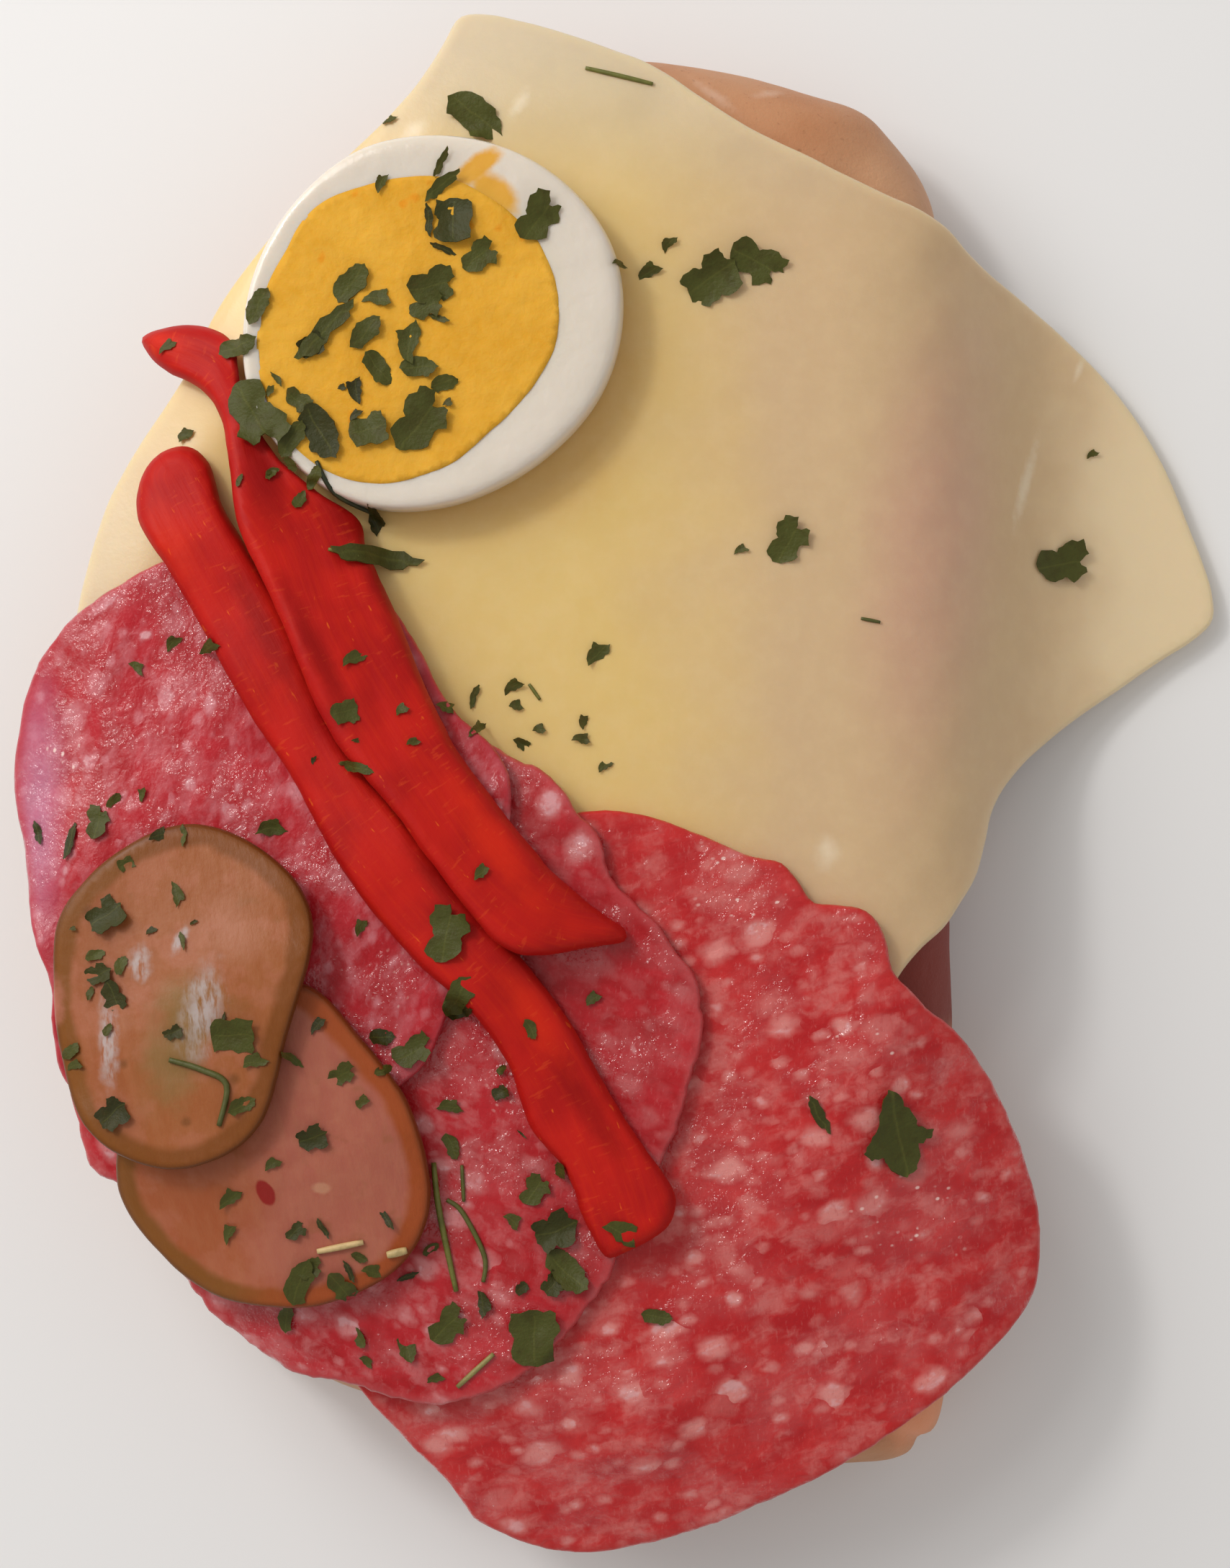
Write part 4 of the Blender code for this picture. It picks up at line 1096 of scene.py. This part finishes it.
# %% Colour the gherkin
recipe = Recipe("upper gherkin")
tone, fibres = gherkin_tones(recipe, seen(150, 89, 58), seen(153, 92, 57), -42, -34,
                             seen(122, 74, 40), seen(122, 78, 36))
tone = recipe.dabs(tone, (((-36.5, -29.0, 10.0, 5.0, 75, 0.8, 0.9), 0.85, seen(134, 106, 66)),
                          ((-31.5, -25.5, 3.4, 1.8, 10, 0.7, 0.9), 0.5, seen(134, 88, 46)),
                          ((-50.3, -25.5, 4.0, 1.9, 80, 0.8, 0.9), 0.7, seen(186, 118, 102)),
                          ((-30.8, -17.8, 5.5, 3.4, -60, 0.9, 0.9), 0.5, seen(172, 114, 88))))
# Painted reflections: pale streaks of wet sheen on the upper slice.
streaks = recipe.step(recipe.noise(0.8, 3.0, 0.6, recipe.stretched((0.8, 3.0, 1.0), 6)), 0.32, 0.60)
for spot in ((-40.7, -21.0, 2.6, 1.6, 90), (-34.0, -25.8, 6.6, 3.0, 78), (-44.0, -29.5, 6.6, 1.5, 94),
             (-36.5, -18.5, 2.2, 0.8, 60)):
    shine = recipe.times(recipe.spot(*spot, 0.8, 0.9), streaks)
    tone = recipe.paint(tone, shine, 0.75, seen(180, 170, 168))
pips = ((-46.5, -15.6, 1.0), (-35.6, -37.5, 0.8), (-42.3, -31.5, 0.7), (-30.5, -33.0, 0.9))
tone = recipe.dabs(tone, [((x, y, size, size, 0, 0.8), 0.5, seen(98, 66, 36)) for x, y, size in pips])
upper_look = wet_flesh(recipe, tone, fibres)

recipe = Recipe("lower gherkin")
tone, fibres = gherkin_tones(recipe, seen(160, 90, 60), seen(168, 98, 82), -29, -20,
                             seen(154, 76, 36), seen(124, 82, 42))
# The second spot is a painted highlight.
tone = recipe.dabs(tone, (((-27.5, -45.3, 1.7, 1.0, -62, 0.25, 0.2), 0.9, seen(140, 32, 40)),
                          ((-21.6, -44.8, 1.2, 0.8, 0), 0.6, seen(192, 144, 114)),
                          ((-31.0, -38.5, 6.0, 2.4, -20, 0.9), 0.4, seen(144, 76, 48))))
put(gherkins["lower"], wet_flesh(recipe, tone, fibres), "gherkin_lower", slot="gherkin")
put(gherkins["upper"], upper_look, "gherkin_upper", slot="gherkin")

# %% [markdown]
# ## One leaf of each kind
# Chopped parsley has a few typical shapes: ovals, wedges, slivers, notched and tufted bits. Each is
# drawn as an outline one unit long, filled with triangles, folded a little along its middle and given
# a back, so that it is a closed body. Such a bit could be cut from one big leaf by hand, but a few
# repeated shapes with different sizes and turns look just as chopped.


# %% Outlines of the leaves
LEAF_SHAPES = {
    "oval": ((-.5, 0), (-.38, .17), (-.15, .27), (.12, .25), (.34, .17), (.5, .02), (.36, -.16),
             (.14, -.25), (-.1, -.2), (-.34, -.2)),
    "wedge": ((-.5, -.08), (-.3, .2), (0, .3), (.22, .36), (.32, .1), (.5, -.1), (.2, -.2), (-.1, -.16)),
    "sliver": ((-.5, .03), (-.2, .12), (.15, .13), (.5, .05), (.3, -.08), (-.1, -.1), (-.35, -.08)),
    "square": ((-.42, -.36), (-.5, .1), (-.38, .4), (0, .34), (.12, .44), (.45, .4), (.5, -.05),
               (.42, -.38), (.1, -.42), (-.1, -.34)),
    "notched": ((-.5, .1), (-.36, .3), (-.06, .22), (.1, .36), (.42, .34), (.5, .1), (.3, .02),
                (.4, -.2), (.14, -.34), (.0, -.2), (-.2, -.28), (-.4, -.12)),
    "lobed": ((-.5, -.03), (-.44, .08), (-.28, .13), (-.16, .24), (-.04, .25), (.04, .42), (.14, .38),
              (.16, .2), (.3, .2), (.42, .14), (.5, 0), (.42, -.12), (.3, -.18), (.2, -.2),
              (.2, -.35), (.1, -.42), (.03, -.33), (-.08, -.24), (-.2, -.16), (-.36, -.1)),
    "tuft": ((-.5, -.12), (-.42, .1), (-.46, .28), (-.16, .34), (-.04, .26), (.1, .42), (.36, .36),
             (.34, .16), (.5, .02), (.4, -.12), (.38, -.34), (.1, -.4), (-.04, -.3), (-.3, -.38)),
}
LEAF_THICK, LEAF_FOLD, LEAF_CURL, TUFT_CUP = 0.022, 0.16, 0.22, 0.5
LEAF_MESH, LEAF_TEAR, SHARP_EDGE = 0.13, 0.10, math.radians(35)


# %% Make the leaf shapes
def torn(outline):
    """The outline with two more points on every side, pushed a little off the straight line."""
    points = []
    for k, (start, end) in enumerate(zip(outline, outline[1:] + outline[:1])):
        start, end = np.array(start), np.array(end)
        across = np.array([start[1] - end[1], end[0] - start[0]])
        points.append(start)
        for share, wave in ((0.34, math.sin(7.0 * k)), (0.68, math.cos(5.0 * k + 1))):
            points.append(start + (end - start) * share + across * (LEAF_TEAR * wave))
    loop = np.array(points)
    return loop if area(loop) > 0 else loop[::-1]


def leaf_form(kind, outline):
    """A closed thin leaf one metre long, folded along its middle and curled at its ends."""
    loop = torn(outline)
    across, along = np.meshgrid(np.arange(-.5, .5, LEAF_MESH), np.arange(-.5, .5, LEAF_MESH))
    inner = np.column_stack([across.ravel(), along.ravel()])
    inner = inner[depth_inside(loop, *inner.T) > 0.05]
    flat = np.concatenate([loop, inner])
    u, v = flat.T
    rise = LEAF_FOLD * np.abs(v) + LEAF_CURL * u ** 2 + (TUFT_CUP * v ** 2 if kind == "tuft" else 0)
    top = np.column_stack([u, v, rise + LEAF_THICK])
    back = np.column_stack([u, v, rise])
    n, m = len(loop), len(flat)
    faces = triangles_in(flat, n)
    faces += [tuple(m + k for k in reversed(face)) for face in faces]
    faces += band(0, m, n)
    points = np.concatenate([top, back]) / MM
    made = make_object("leaf_" + kind, points, faces, vein=np.abs(np.concatenate([v, v])))
    made.data.set_sharp_from_angle(angle=SHARP_EDGE)
    return made


leaf_shapes = bpy.data.collections.new("leaf shapes")
KINDS = sorted(LEAF_SHAPES)
for kind in KINDS:
    form = leaf_form(kind, LEAF_SHAPES[kind])
    bpy.context.scene.collection.objects.unlink(form)
    leaf_shapes.objects.link(form)

# %% [markdown]
# ## Where the parsley lies
# Every bit has a place and a length in millimetres, a turn in degrees and a shade, from 0 to 1, that
# says how dark it is. Most bits lie on the yolk and the gherkin. A random scatter would be quicker,
# but the places are part of how this sandwich looks.

# %% List the parsley
PARSLEY = {
    "oval": (
        (-18.5, 51.3, 5.2, 50, .2), (-17, 46.1, 4.5, 45, .3), (-11.3, 42.3, 4.4, 0, .3),
        (-15.8, 42.2, 4.6, -50, .2), (-8.6, 40.6, 3.2, 20, .2), (-22, 35.5, 7, -60, .8),
        (-24.9, 34.8, 4.6, 60, .3), (-28.4, 48.9, 4.2, 60, .2), (-30.9, 44.7, 4.7, 20, .3),
        (-22.5, 30.7, 2.6, 60, .2), (-25.1, 32.1, 2.2, -60, .3), (-27.1, 30.9, 1.7, 40, .2),
        (-30.5, 30.2, 1.4, 70, .4), (-24, 28.4, 2.4, 60, .3), (-5.8, 70.3, 7.5, -35, .2),
        (-7, -24.5, 5.4, 60, .3), (-44.2, -3.7, 2.1, 45, .2), (-15.3, -29.1, 3.1, 5, .8),
        (-7, -26.4, 3.1, 15, .8), (.5, -28, 2.5, -60, .3), (-45.6, -20.1, 2.4, 20, .2),
        (-42.8, -21.1, 2.3, 60, .2), (-46.1, -24.2, 1.8, 70, .4), (-44.1, -27.9, 1.7, 70, .3),
        (-48.1, -30.3, 2.5, 55, .3), (-29.8, -35.8, 3.4, 30, .3), (-15.1, -32.4, 1.7, 20, .2),
        (-17.6, -52.2, 1.8, -30, .4), (-23.9, -54.9, 5.2, 70, .3), (-25.7, -59.4, 3.4, 80, .3),
        (-7.9, -40.9, 3, -70, .3), (-2.5, -32.7, 1.6, 70, .2), (3.6, -43.2, 2.2, -70, .3),
        (4.3, -54.3, 6.2, -42, .3), (-12.9, -62.5, 3.4, -75, .3), (-17.9, -61.5, 2.6, -60, .2),
        (-10.2, -51.9, 2, 30, .4), (14, -59.4, 3.4, -10, .3), (-27, 31.3, 1.6, 20, .3),
    ),
    "wedge": (
        (-15.3, 62, 2.3, 60, .2), (-15.7, 49.6, 3.2, 0, .2), (-12.3, 45, 4.6, 88, .3),
        (-18, 39.8, 3, 85, .9), (-19.5, 40.1, 1.2, 0, .8), (-18.2, 37.2, 1.6, 40, .8),
        (-8.2, 38.5, 1.4, 10, .3), (-27.2, 39.8, 1.6, 60, .3), (-26.4, 37.1, 1.4, 30, .4),
        (-16.5, 26.4, 3, -80, .9), (-15, 69.9, 1.8, 30, .3), (10, 53.6, 1.7, 10, .2),
        (13.2, 53.2, 3.2, 30, .2), (15.3, 56.4, 2.2, 60, .3), (23.2, 23.2, 1.8, 20, .2),
        (63.6, 35.2, 1.8, 30, .2), (7.6, 12, 3.4, 50, .3), (-1.4, 8.3, 2.6, 30, .3),
        (-1.2, 6.5, 1.8, 0, .4), (-5.3, 4, 2.2, 40, .3), (1.3, 3.8, 1.8, 0, .3),
        (-.6, 2.3, 2.4, -40, .4), (6.1, 4.8, 1.8, 60, .3), (5.9, 2.8, 2.2, 0, .4),
        (8.4, -.2, 2, 30, .3), (-37, 35.9, 2.2, 40, .3), (-38.7, 45, 2.2, 30, .3),
        (-18.1, 11.2, 2.6, 30, .3), (-12.9, 5.6, 1.8, 30, .3), (-17.8, 2.7, 1, 0, .4),
        (-11.8, 2.4, 1.6, 10, .3), (-8.6, 6, 2.2, -30, .3), (-22.4, .5, 1, 70, .8),
        (-4.5, -11.3, 2.2, 30, .3), (10.1, -49.9, 4.4, -30, .2), (-37.9, 13.1, 2.2, 40, .2),
        (-33.9, 12.6, 2.6, 20, .3), (-41.9, 10.4, 2, -30, .2), (-41.1, -3, 1.7, 80, .3),
        (-27.4, -6.9, 3.4, 10, .3), (-17.6, -17.3, 2.2, 60, .3), (-39, -7.3, 2.2, 10, .8),
        (-37.1, -13.6, 2.7, -80, .3), (-47.9, -17.5, .8, 0, .4), (-39.5, -17.6, 1.3, 30, .8),
        (-35, -16.6, 1, 20, .8), (-47.6, -32, 2, 20, .3), (-28.3, -31.2, 3, 20, .3),
        (-21.8, -27.6, 2.2, 50, .8), (-26.7, -42.3, 2, 30, .3), (-31.4, -45.9, 3, 40, .3),
        (-31.4, -49.9, 2.4, 60, .3), (-16.4, -53.7, 2.2, -20, .3), (-8.2, -36.5, 3.1, -10, .3),
        (-1.5, -48.9, 2.2, -40, .3), (-4.6, -57.7, 2.9, -80, .8), (-17.3, -64.1, 1.7, -40, .3),
        (-9.8, -65.8, 2, 20, .3), (7.2, -25.1, 2.2, 30, .3),
    ),
    "sliver": (
        (-8.9, 64.3, 3.5, 65, .3), (-8.8, 61.7, 5.2, 40, .3), (-10.4, 58.1, 3.8, -80, .8),
        (-8.9, 54.9, 3, -30, .8), (-21.1, 46.2, 9, 44, .4), (-9.2, 47.4, 2.5, -15, .3),
        (-26.6, 41.1, 2.2, -60, .3), (-5.6, 7.3, 3, 70, .3), (-16.1, 22.2, 9.5, -8, .4),
        (-19, -.1, 2, -15, .3), (-17.6, -.4, 4.8, -15, .3), (-48.9, -8.1, 4.2, 75, .8),
        (-52.9, -7.2, 2.8, -75, .8), (-36.4, -7.5, 2.4, -85, .2), (-36.2, -18.5, 2.2, -75, .3),
        (-31.6, -27.1, 2.2, 80, .9), (-24.6, -31.1, 3, -50, .2), (-21.4, -49.2, 2.5, -65, .9),
        (-14.8, -48, 2.9, -65, .9), (-18.8, -53.7, 2.7, -60, .9), (-12.6, -54.8, 2.7, 12, .9),
        (-.5, -39.5, 1.2, -50, .8), (31.3, -37.6, 4.8, -65, .6),
    ),
    "square": (
        (-7.6, 57.9, 4.9, 90, .7), (-16.7, 35.6, 4, 15, .3), (-18.9, 5.6, 2.9, 20, .3),
        (-42.4, -10.4, 1.7, 30, .3), (-30.6, -28.4, 4.7, 0, .3), (-17.1, -35.6, 1.3, 40, .3),
        (-2.8, -35.1, 1.7, 20, .8), (-.5, -56.1, 1.3, 30, .8), (1, -61.2, 6.3, 90, .3),
    ),
    "notched": (
        (1.4, 58.2, 6, 55, .2), (-4.8, 54.1, 4.4, 45, .2), (-10, 51, 5.5, 12, .3),
        (-10.5, 48.7, 4, 25, .3), (-11.1, 36.5, 7.4, 52, .3), (-24.2, 38.9, 3, -40, .3),
        (-29.1, 37.3, 8, -60, .3), (24.7, 54.3, 6.4, -30, .2), (28.4, 24.1, 5.6, 60, .2),
        (60.1, 22.8, 6.4, 10, .3), (-8.1, -17.9, 6.4, 75, .3), (-46, -6.2, 3.6, 75, .3),
        (-12, -30.6, 4.8, 30, .3), (-43.6, -24.4, 3.6, -60, .8), (-19.3, -32.7, 3.2, 25, .3),
        (-24.3, -49.6, 2.6, 40, .7), (-22.9, -53.7, 3, 20, .4), (-19.7, -55.4, 3.8, -50, .3),
        (1, -45.6, 4, 60, .3), (-8.3, -60, 4.8, 45, .3),
    ),
    "lobed": ((40, -39.8, 9.8, -78, .4),),
    "tuft": (
        (-22.8, 44.7, 3, 20, .8), (20, 52.8, 6.6, 35, .2), (-44.3, -16, 4.2, 35, .7),
        (-45.1, -22.1, 2.8, 20, .7), (-43.4, -36.8, 3.6, 40, .9), (-36.9, -28.2, 2.1, 20, .8),
        (-22.5, -39.4, 3.4, 20, .8), (3.1, -49.8, 5.2, 20, .7), (3, -55.5, 3.2, 50, .7),
    ),
}
bits = [(*bit, KINDS.index(kind)) for kind in KINDS for bit in PARSLEY[kind]]
print(len(bits), "bits of parsley")

# %% [markdown]
# ## Laying the parsley with Geometry Nodes
# A node tree sets one leaf shape on every point, turned and sized by the point's own values, joins
# them and casts a ray down from every vertex, so that each leaf follows what it lies on. Placing 160
# objects in a loop would give the same picture, but here one tree does it all and any value can be
# changed later. The result is turned into a plain mesh.


# %% Build the node tree
TREE_INPUTS = (("Geometry", "Geometry"), ("Leaves", "Collection"), ("Ground", "Object"),
               ("Lift", "Float"), ("Uneven", "Float"), ("Detail", "Float"), ("Seed", "Int"),
               ("Material", "Material"))
TILT_ALONG, TILT_ACROSS = 0.28, 0.22


def turned_and_scattered(tree, given):
    """One leaf on every point, with the point's own kind, turn and length and a random tilt."""
    def own(name):
        return tree.add("GeometryNodeInputNamedAttribute", {0: name}, data_type="FLOAT")[0]

    next_seed = tree.calc("ADD", given["Seed"], 1.0)
    tilts = [tree.add("FunctionNodeRandomValue", {2: -most, 3: most, 8: seed}, data_type="FLOAT")[1]
             for most, seed in ((TILT_ALONG, given["Seed"]), (TILT_ACROSS, next_seed))]
    turn = tree.add("ShaderNodeCombineXYZ", {0: tilts[0], 1: tilts[1], 2: own("turn")})[0]
    leaves = tree.add("GeometryNodeCollectionInfo", {0: given["Leaves"], 1: True, 2: True})[0]
    scattered = tree.add("GeometryNodeInstanceOnPoints", {
        0: given["Geometry"], 2: leaves, 3: True, 4: own("kind"), 5: turn, 6: own("length")})[0]
    return tree.add("GeometryNodeRealizeInstances", {0: scattered})[0]


def landed_places(tree, given):
    """Where every vertex comes to lie: pushed about a little, then dropped on the ground."""
    spot = tree.add("GeometryNodeInputPosition")[0]
    push = tree.add("ShaderNodeTexNoise", {"Vector": spot, "Scale": given["Detail"]})["Color"]
    push = tree.vector("SUBTRACT", push, (0.5, 0.5, 0.5))
    push = tree.add("ShaderNodeVectorMath", {0: push, "Scale": given["Uneven"]}, operation="SCALE")[0]
    place = tree.add("ShaderNodeSeparateXYZ", {0: tree.vector("ADD", spot, push)})
    above = tree.add("ShaderNodeCombineXYZ", {0: place[0], 1: place[1], 2: 0.1})[0]
    floor = tree.add("GeometryNodeObjectInfo", {0: given["Ground"]})["Geometry"]
    hit = tree.add("GeometryNodeRaycast", {0: floor, 2: above, 3: (0, 0, -1), 4: 0.2})
    landed = tree.add("ShaderNodeSeparateXYZ", {0: hit["Hit Position"]})[2]
    height = tree.calc("ADD", tree.calc("ADD", landed, place[2]), given["Lift"])
    return tree.add("ShaderNodeCombineXYZ", {0: place[0], 1: place[1], 2: height})[0]


def parsley_tree():
    """The tree that lays the parsley, and the sockets of its inputs by name."""
    tree = Nodes(bpy.data.node_groups.new("lay the parsley", "GeometryNodeTree"))
    face = tree.tree.interface
    face.new_socket("Geometry", in_out="OUTPUT", socket_type="NodeSocketGeometry")
    sockets = {name: face.new_socket(name, in_out="INPUT", socket_type="NodeSocket" + kind)
               for name, kind in TREE_INPUTS}
    given = tree.add("NodeGroupInput")
    joined = turned_and_scattered(tree, given)
    laid = tree.add("GeometryNodeSetPosition", {0: joined, 2: landed_places(tree, given)})[0]
    coloured = tree.add("GeometryNodeSetMaterial", {0: laid, 2: given["Material"]})[0]
    tree.add("NodeGroupOutput", {0: coloured})
    return tree.tree, sockets

# %% [markdown]
# ## Parsley green
# Chopped parsley is a dull dark green, paler along the vein. The shade of each bit comes from its
# own value, so that one material serves them all; a material for every shade would do the same with
# more work.

# %% Colour the parsley
recipe = Recipe("parsley")
green = recipe.mix(recipe.value("shade"), seen(86, 88, 46), seen(54, 54, 34))
green = recipe.paint(green, recipe.step(recipe.noise(1.6, 3.0), 0.45, 0.7), 0.5, seen(70, 66, 38))
green = recipe.paint(green, recipe.step(recipe.value("vein"), 0.045, 0.0), 0.45, seen(112, 112, 58))
grain = recipe.bump(recipe.noise(0.5, 3.0, 0.6), 0.12)
parsley_look = recipe.finish(Base_Color=green, Normal=grain, Roughness=0.55, Specular_IOR_Level=0.3,
                             Subsurface_Weight=0.05, Subsurface_Scale=0.0005)

# %% Lay the parsley
LEAF_LIFT, LEAF_UNEVEN, LEAF_DETAIL, LEAF_SEED = 0.14 * MM, 1.2 * MM, 380.0, 5

soft_ground = np.maximum(blurred(ground, 1), ground - 0.06)
corner = np.arange(ground.size).reshape(ground.shape)
squares = np.stack([corner[:-1, :-1], corner[:-1, 1:], corner[1:, 1:], corner[1:, :-1]], axis=-1)
ground_points = np.column_stack([X.ravel(), Y.ravel(), soft_ground.ravel()])
ground_object = make_object("ground_field", ground_points, squares.reshape(-1, 4).tolist())
places = np.array(bits, float)
parsley = make_object("parsley_places", np.column_stack([places[:, :2], np.zeros(len(places))]), [],
                      length=places[:, 2] * MM, turn=np.radians(places[:, 3]), shade=places[:, 4],
                      kind=places[:, 5])
nodes = parsley.modifiers.new("parsley", "NODES")
nodes.node_group, sockets = parsley_tree()
for name, value in (("Leaves", leaf_shapes), ("Ground", ground_object), ("Lift", LEAF_LIFT),
                    ("Uneven", LEAF_UNEVEN), ("Detail", LEAF_DETAIL), ("Seed", LEAF_SEED),
                    ("Material", parsley_look)):
    nodes[sockets[name].identifier] = value
graph = bpy.context.evaluated_depsgraph_get()
plain = bpy.data.meshes.new_from_object(parsley.evaluated_get(graph))
parsley.modifiers.clear()
parsley.data = plain
parsley.name = "parsley"
bpy.data.objects.remove(ground_object)
put(parsley, parsley_look)
print("the parsley has", len(plain.polygons), "faces")

# %% [markdown]
# ## Stems
# A few thin stems lie between the leaves. Each is a tube of rings along a smooth line, closed at its
# ends, resting on the height field. A curve with a bevel would do too, but its height would have to
# be set by hand.


# %% Make the stems
STEM_SIDES = 8
STEMS = (
    (((6.3, 75.6), (10, 74.7), (13.6, 73.8)), 0.26, .5), (((36.1, 15.9), (38.2, 15.5)), 0.2, .3),
    (((.2, 8.8), (1.4, 7.1)), 0.2, .5), (((-22.3, 32.4), (-20.4, 29), (-16.5, 27.1)), 0.28, .1),
    (((-37.4, -31), (-34, -32), (-31.3, -33.6), (-32.1, -37.9)), 0.34, .3),
    (((-9.9, -42.5), (-9.2, -48.2), (-7.5, -56.3)), 0.34, .55),
    (((-8.5, -46.5), (-6.8, -47.9), (-4.5, -52.5), (-4.6, -55.3)), 0.28, .35),
    (((-6.9, -42.8), (-6.7, -46.7)), 0.22, .35), (((-22.1, -51.6), (-17.2, -50.6)), 0.36, 1.),
    (((-14.7, -52), (-12.6, -51.5)), 0.45, .9), (((-7.4, -66.6), (-3.5, -63)), 0.3, .8),
    (((-21, 23), (-17.8, 22.2)), 0.24, .6),
)


def make_stems():
    """Tubes with closed ends, each from its line, its radius and how pale it is."""
    points, faces, tones = [], [], []
    turns = np.linspace(0, 2 * math.pi, STEM_SIDES, endpoint=False)
    for path, radius, tone in STEMS:
        line = smooth_line(path, 6)
        along = np.gradient(line, axis=0)
        along /= np.linalg.norm(along, axis=1)[:, None]
        thin = radius * (0.75 + 0.25 * np.cos(np.linspace(-1.4, 1.4, len(line))))
        z = read_grid(ground, *line.T) + 0.8 * thin
        z = np.convolve(np.pad(z, 2, mode="edge"), np.ones(5) / 5, mode="valid")
        first = len(points)
        for (x, y), (dx, dy), r, height in zip(line, along, thin, z):
            points += [(x - dy * r * math.cos(a), y + dx * r * math.cos(a), height + r * math.sin(a))
                       for a in turns]
        for ring in range(len(line) - 1):
            faces += band(first + ring * STEM_SIDES, first + (ring + 1) * STEM_SIDES, STEM_SIDES)
        last = len(points) - STEM_SIDES
        points += [(*line[0], z[0]), (*line[-1], z[-1])]
        for k in range(STEM_SIDES):
            faces.append((first + k, first + (k + 1) % STEM_SIDES, len(points) - 2))
            faces.append((last + (k + 1) % STEM_SIDES, last + k, len(points) - 1))
        tones += [tone] * (len(points) - first)
    return make_object("stems", points, faces, tone=tones)


stems = make_stems()
recipe = Recipe("stems")
tone = recipe.mix(recipe.step(recipe.value("tone"), 0.0, 0.6), seen(40, 46, 26), seen(112, 112, 56))
tone = recipe.paint(tone, recipe.step(recipe.value("tone"), 0.7, 1.0), 1.0, seen(204, 176, 126))
tone = recipe.paint(tone, recipe.step(recipe.noise(1.2, 3.0), 0.4, 0.7), 0.4, seen(70, 72, 36))
grain = recipe.bump(recipe.noise(0.5, 3.0), 0.06)
put(stems, recipe.finish(Base_Color=tone, Roughness=0.5, Normal=grain))
print("the stems have", len(stems.data.polygons), "faces")

# %% [markdown]
# ## The light
# The food is lit by one large soft light at the upper left, like a window, and a pale even sky that
# fills the shadows. A small bright pane in the window gives wet places their sparkle. A picture of a
# real room would light it as well, but three lights are easier to understand and to move.

# %% Light the food
SKY, SKY_STRENGTH = (1.0, 0.97, 0.94, 1.0), 0.50
WINDOW = {"width": 0.50, "height": 0.60, "watts": 2.6, "place": (-0.42, 0.36, 0.44)}
PANE = {"width": 0.09, "height": 0.10, "watts": 1.0, "place": (-0.36, 0.33, 0.50)}
LAMP_TINT = (1.0, 0.98, 0.96)

world = bpy.data.worlds.new("soft room")
world.use_nodes = True
background = world.node_tree.nodes["Background"]
background.inputs["Color"].default_value = SKY
background.inputs["Strength"].default_value = SKY_STRENGTH
bpy.context.scene.world = world


def area_light(name, width, height, watts, place):
    """A rectangular lamp in metres that looks at the middle of the table."""
    lamp = bpy.data.lights.new(name, "AREA")
    lamp.shape = "RECTANGLE"
    lamp.size, lamp.size_y = width, height
    lamp.energy = watts
    lamp.color = LAMP_TINT
    stand = bpy.data.objects.new(name, lamp)
    stand.location = place
    stand.rotation_euler = (-stand.location).to_track_quat("-Z", "Y").to_euler()
    bpy.context.scene.collection.objects.link(stand)


area_light("window", **WINDOW)
area_light("bright pane", **PANE)
print("the window gives", WINDOW["watts"], "W and the pane", PANE["watts"], "W")

# %% [markdown]
# ## The table and the camera
# A pale matt floor catches the soft shadow. The camera looks straight down from 420 mm through a
# long lens. A short lens close by would make the high pieces look larger than they are.

# %% Set the floor and the camera
FLOOR_HALF, FLOOR_TONE = 2, (0.86, 0.86, 0.86, 1.0)
CAMERA_PLACE, LENS = (0.0095, -0.0020, 0.420), 84.27

floor_mesh = bpy.data.meshes.new("floor")
floor_corners = [(x * FLOOR_HALF, y * FLOOR_HALF, 0) for x, y in ((-1, -1), (1, -1), (1, 1), (-1, 1))]
floor_mesh.from_pydata(floor_corners, [], [(0, 1, 2, 3)])
floor = bpy.data.objects.new("floor", floor_mesh)
bpy.context.scene.collection.objects.link(floor)
paper = Recipe("pale floor")
floor.data.materials.append(paper.finish(Base_Color=FLOOR_TONE, Roughness=0.9))

camera = bpy.data.cameras.new("camera")
camera.lens = LENS
camera.sensor_width = 36.0
camera.clip_start, camera.clip_end = 0.01, 10.0
camera_object = bpy.data.objects.new("camera", camera)
camera_object.location = CAMERA_PLACE
bpy.context.scene.collection.objects.link(camera_object)
bpy.context.scene.camera = camera_object
bpy.context.scene.view_settings.view_transform = "Standard"
print("the camera stands", round(camera_object.location.z / MM), "mm above the floor")
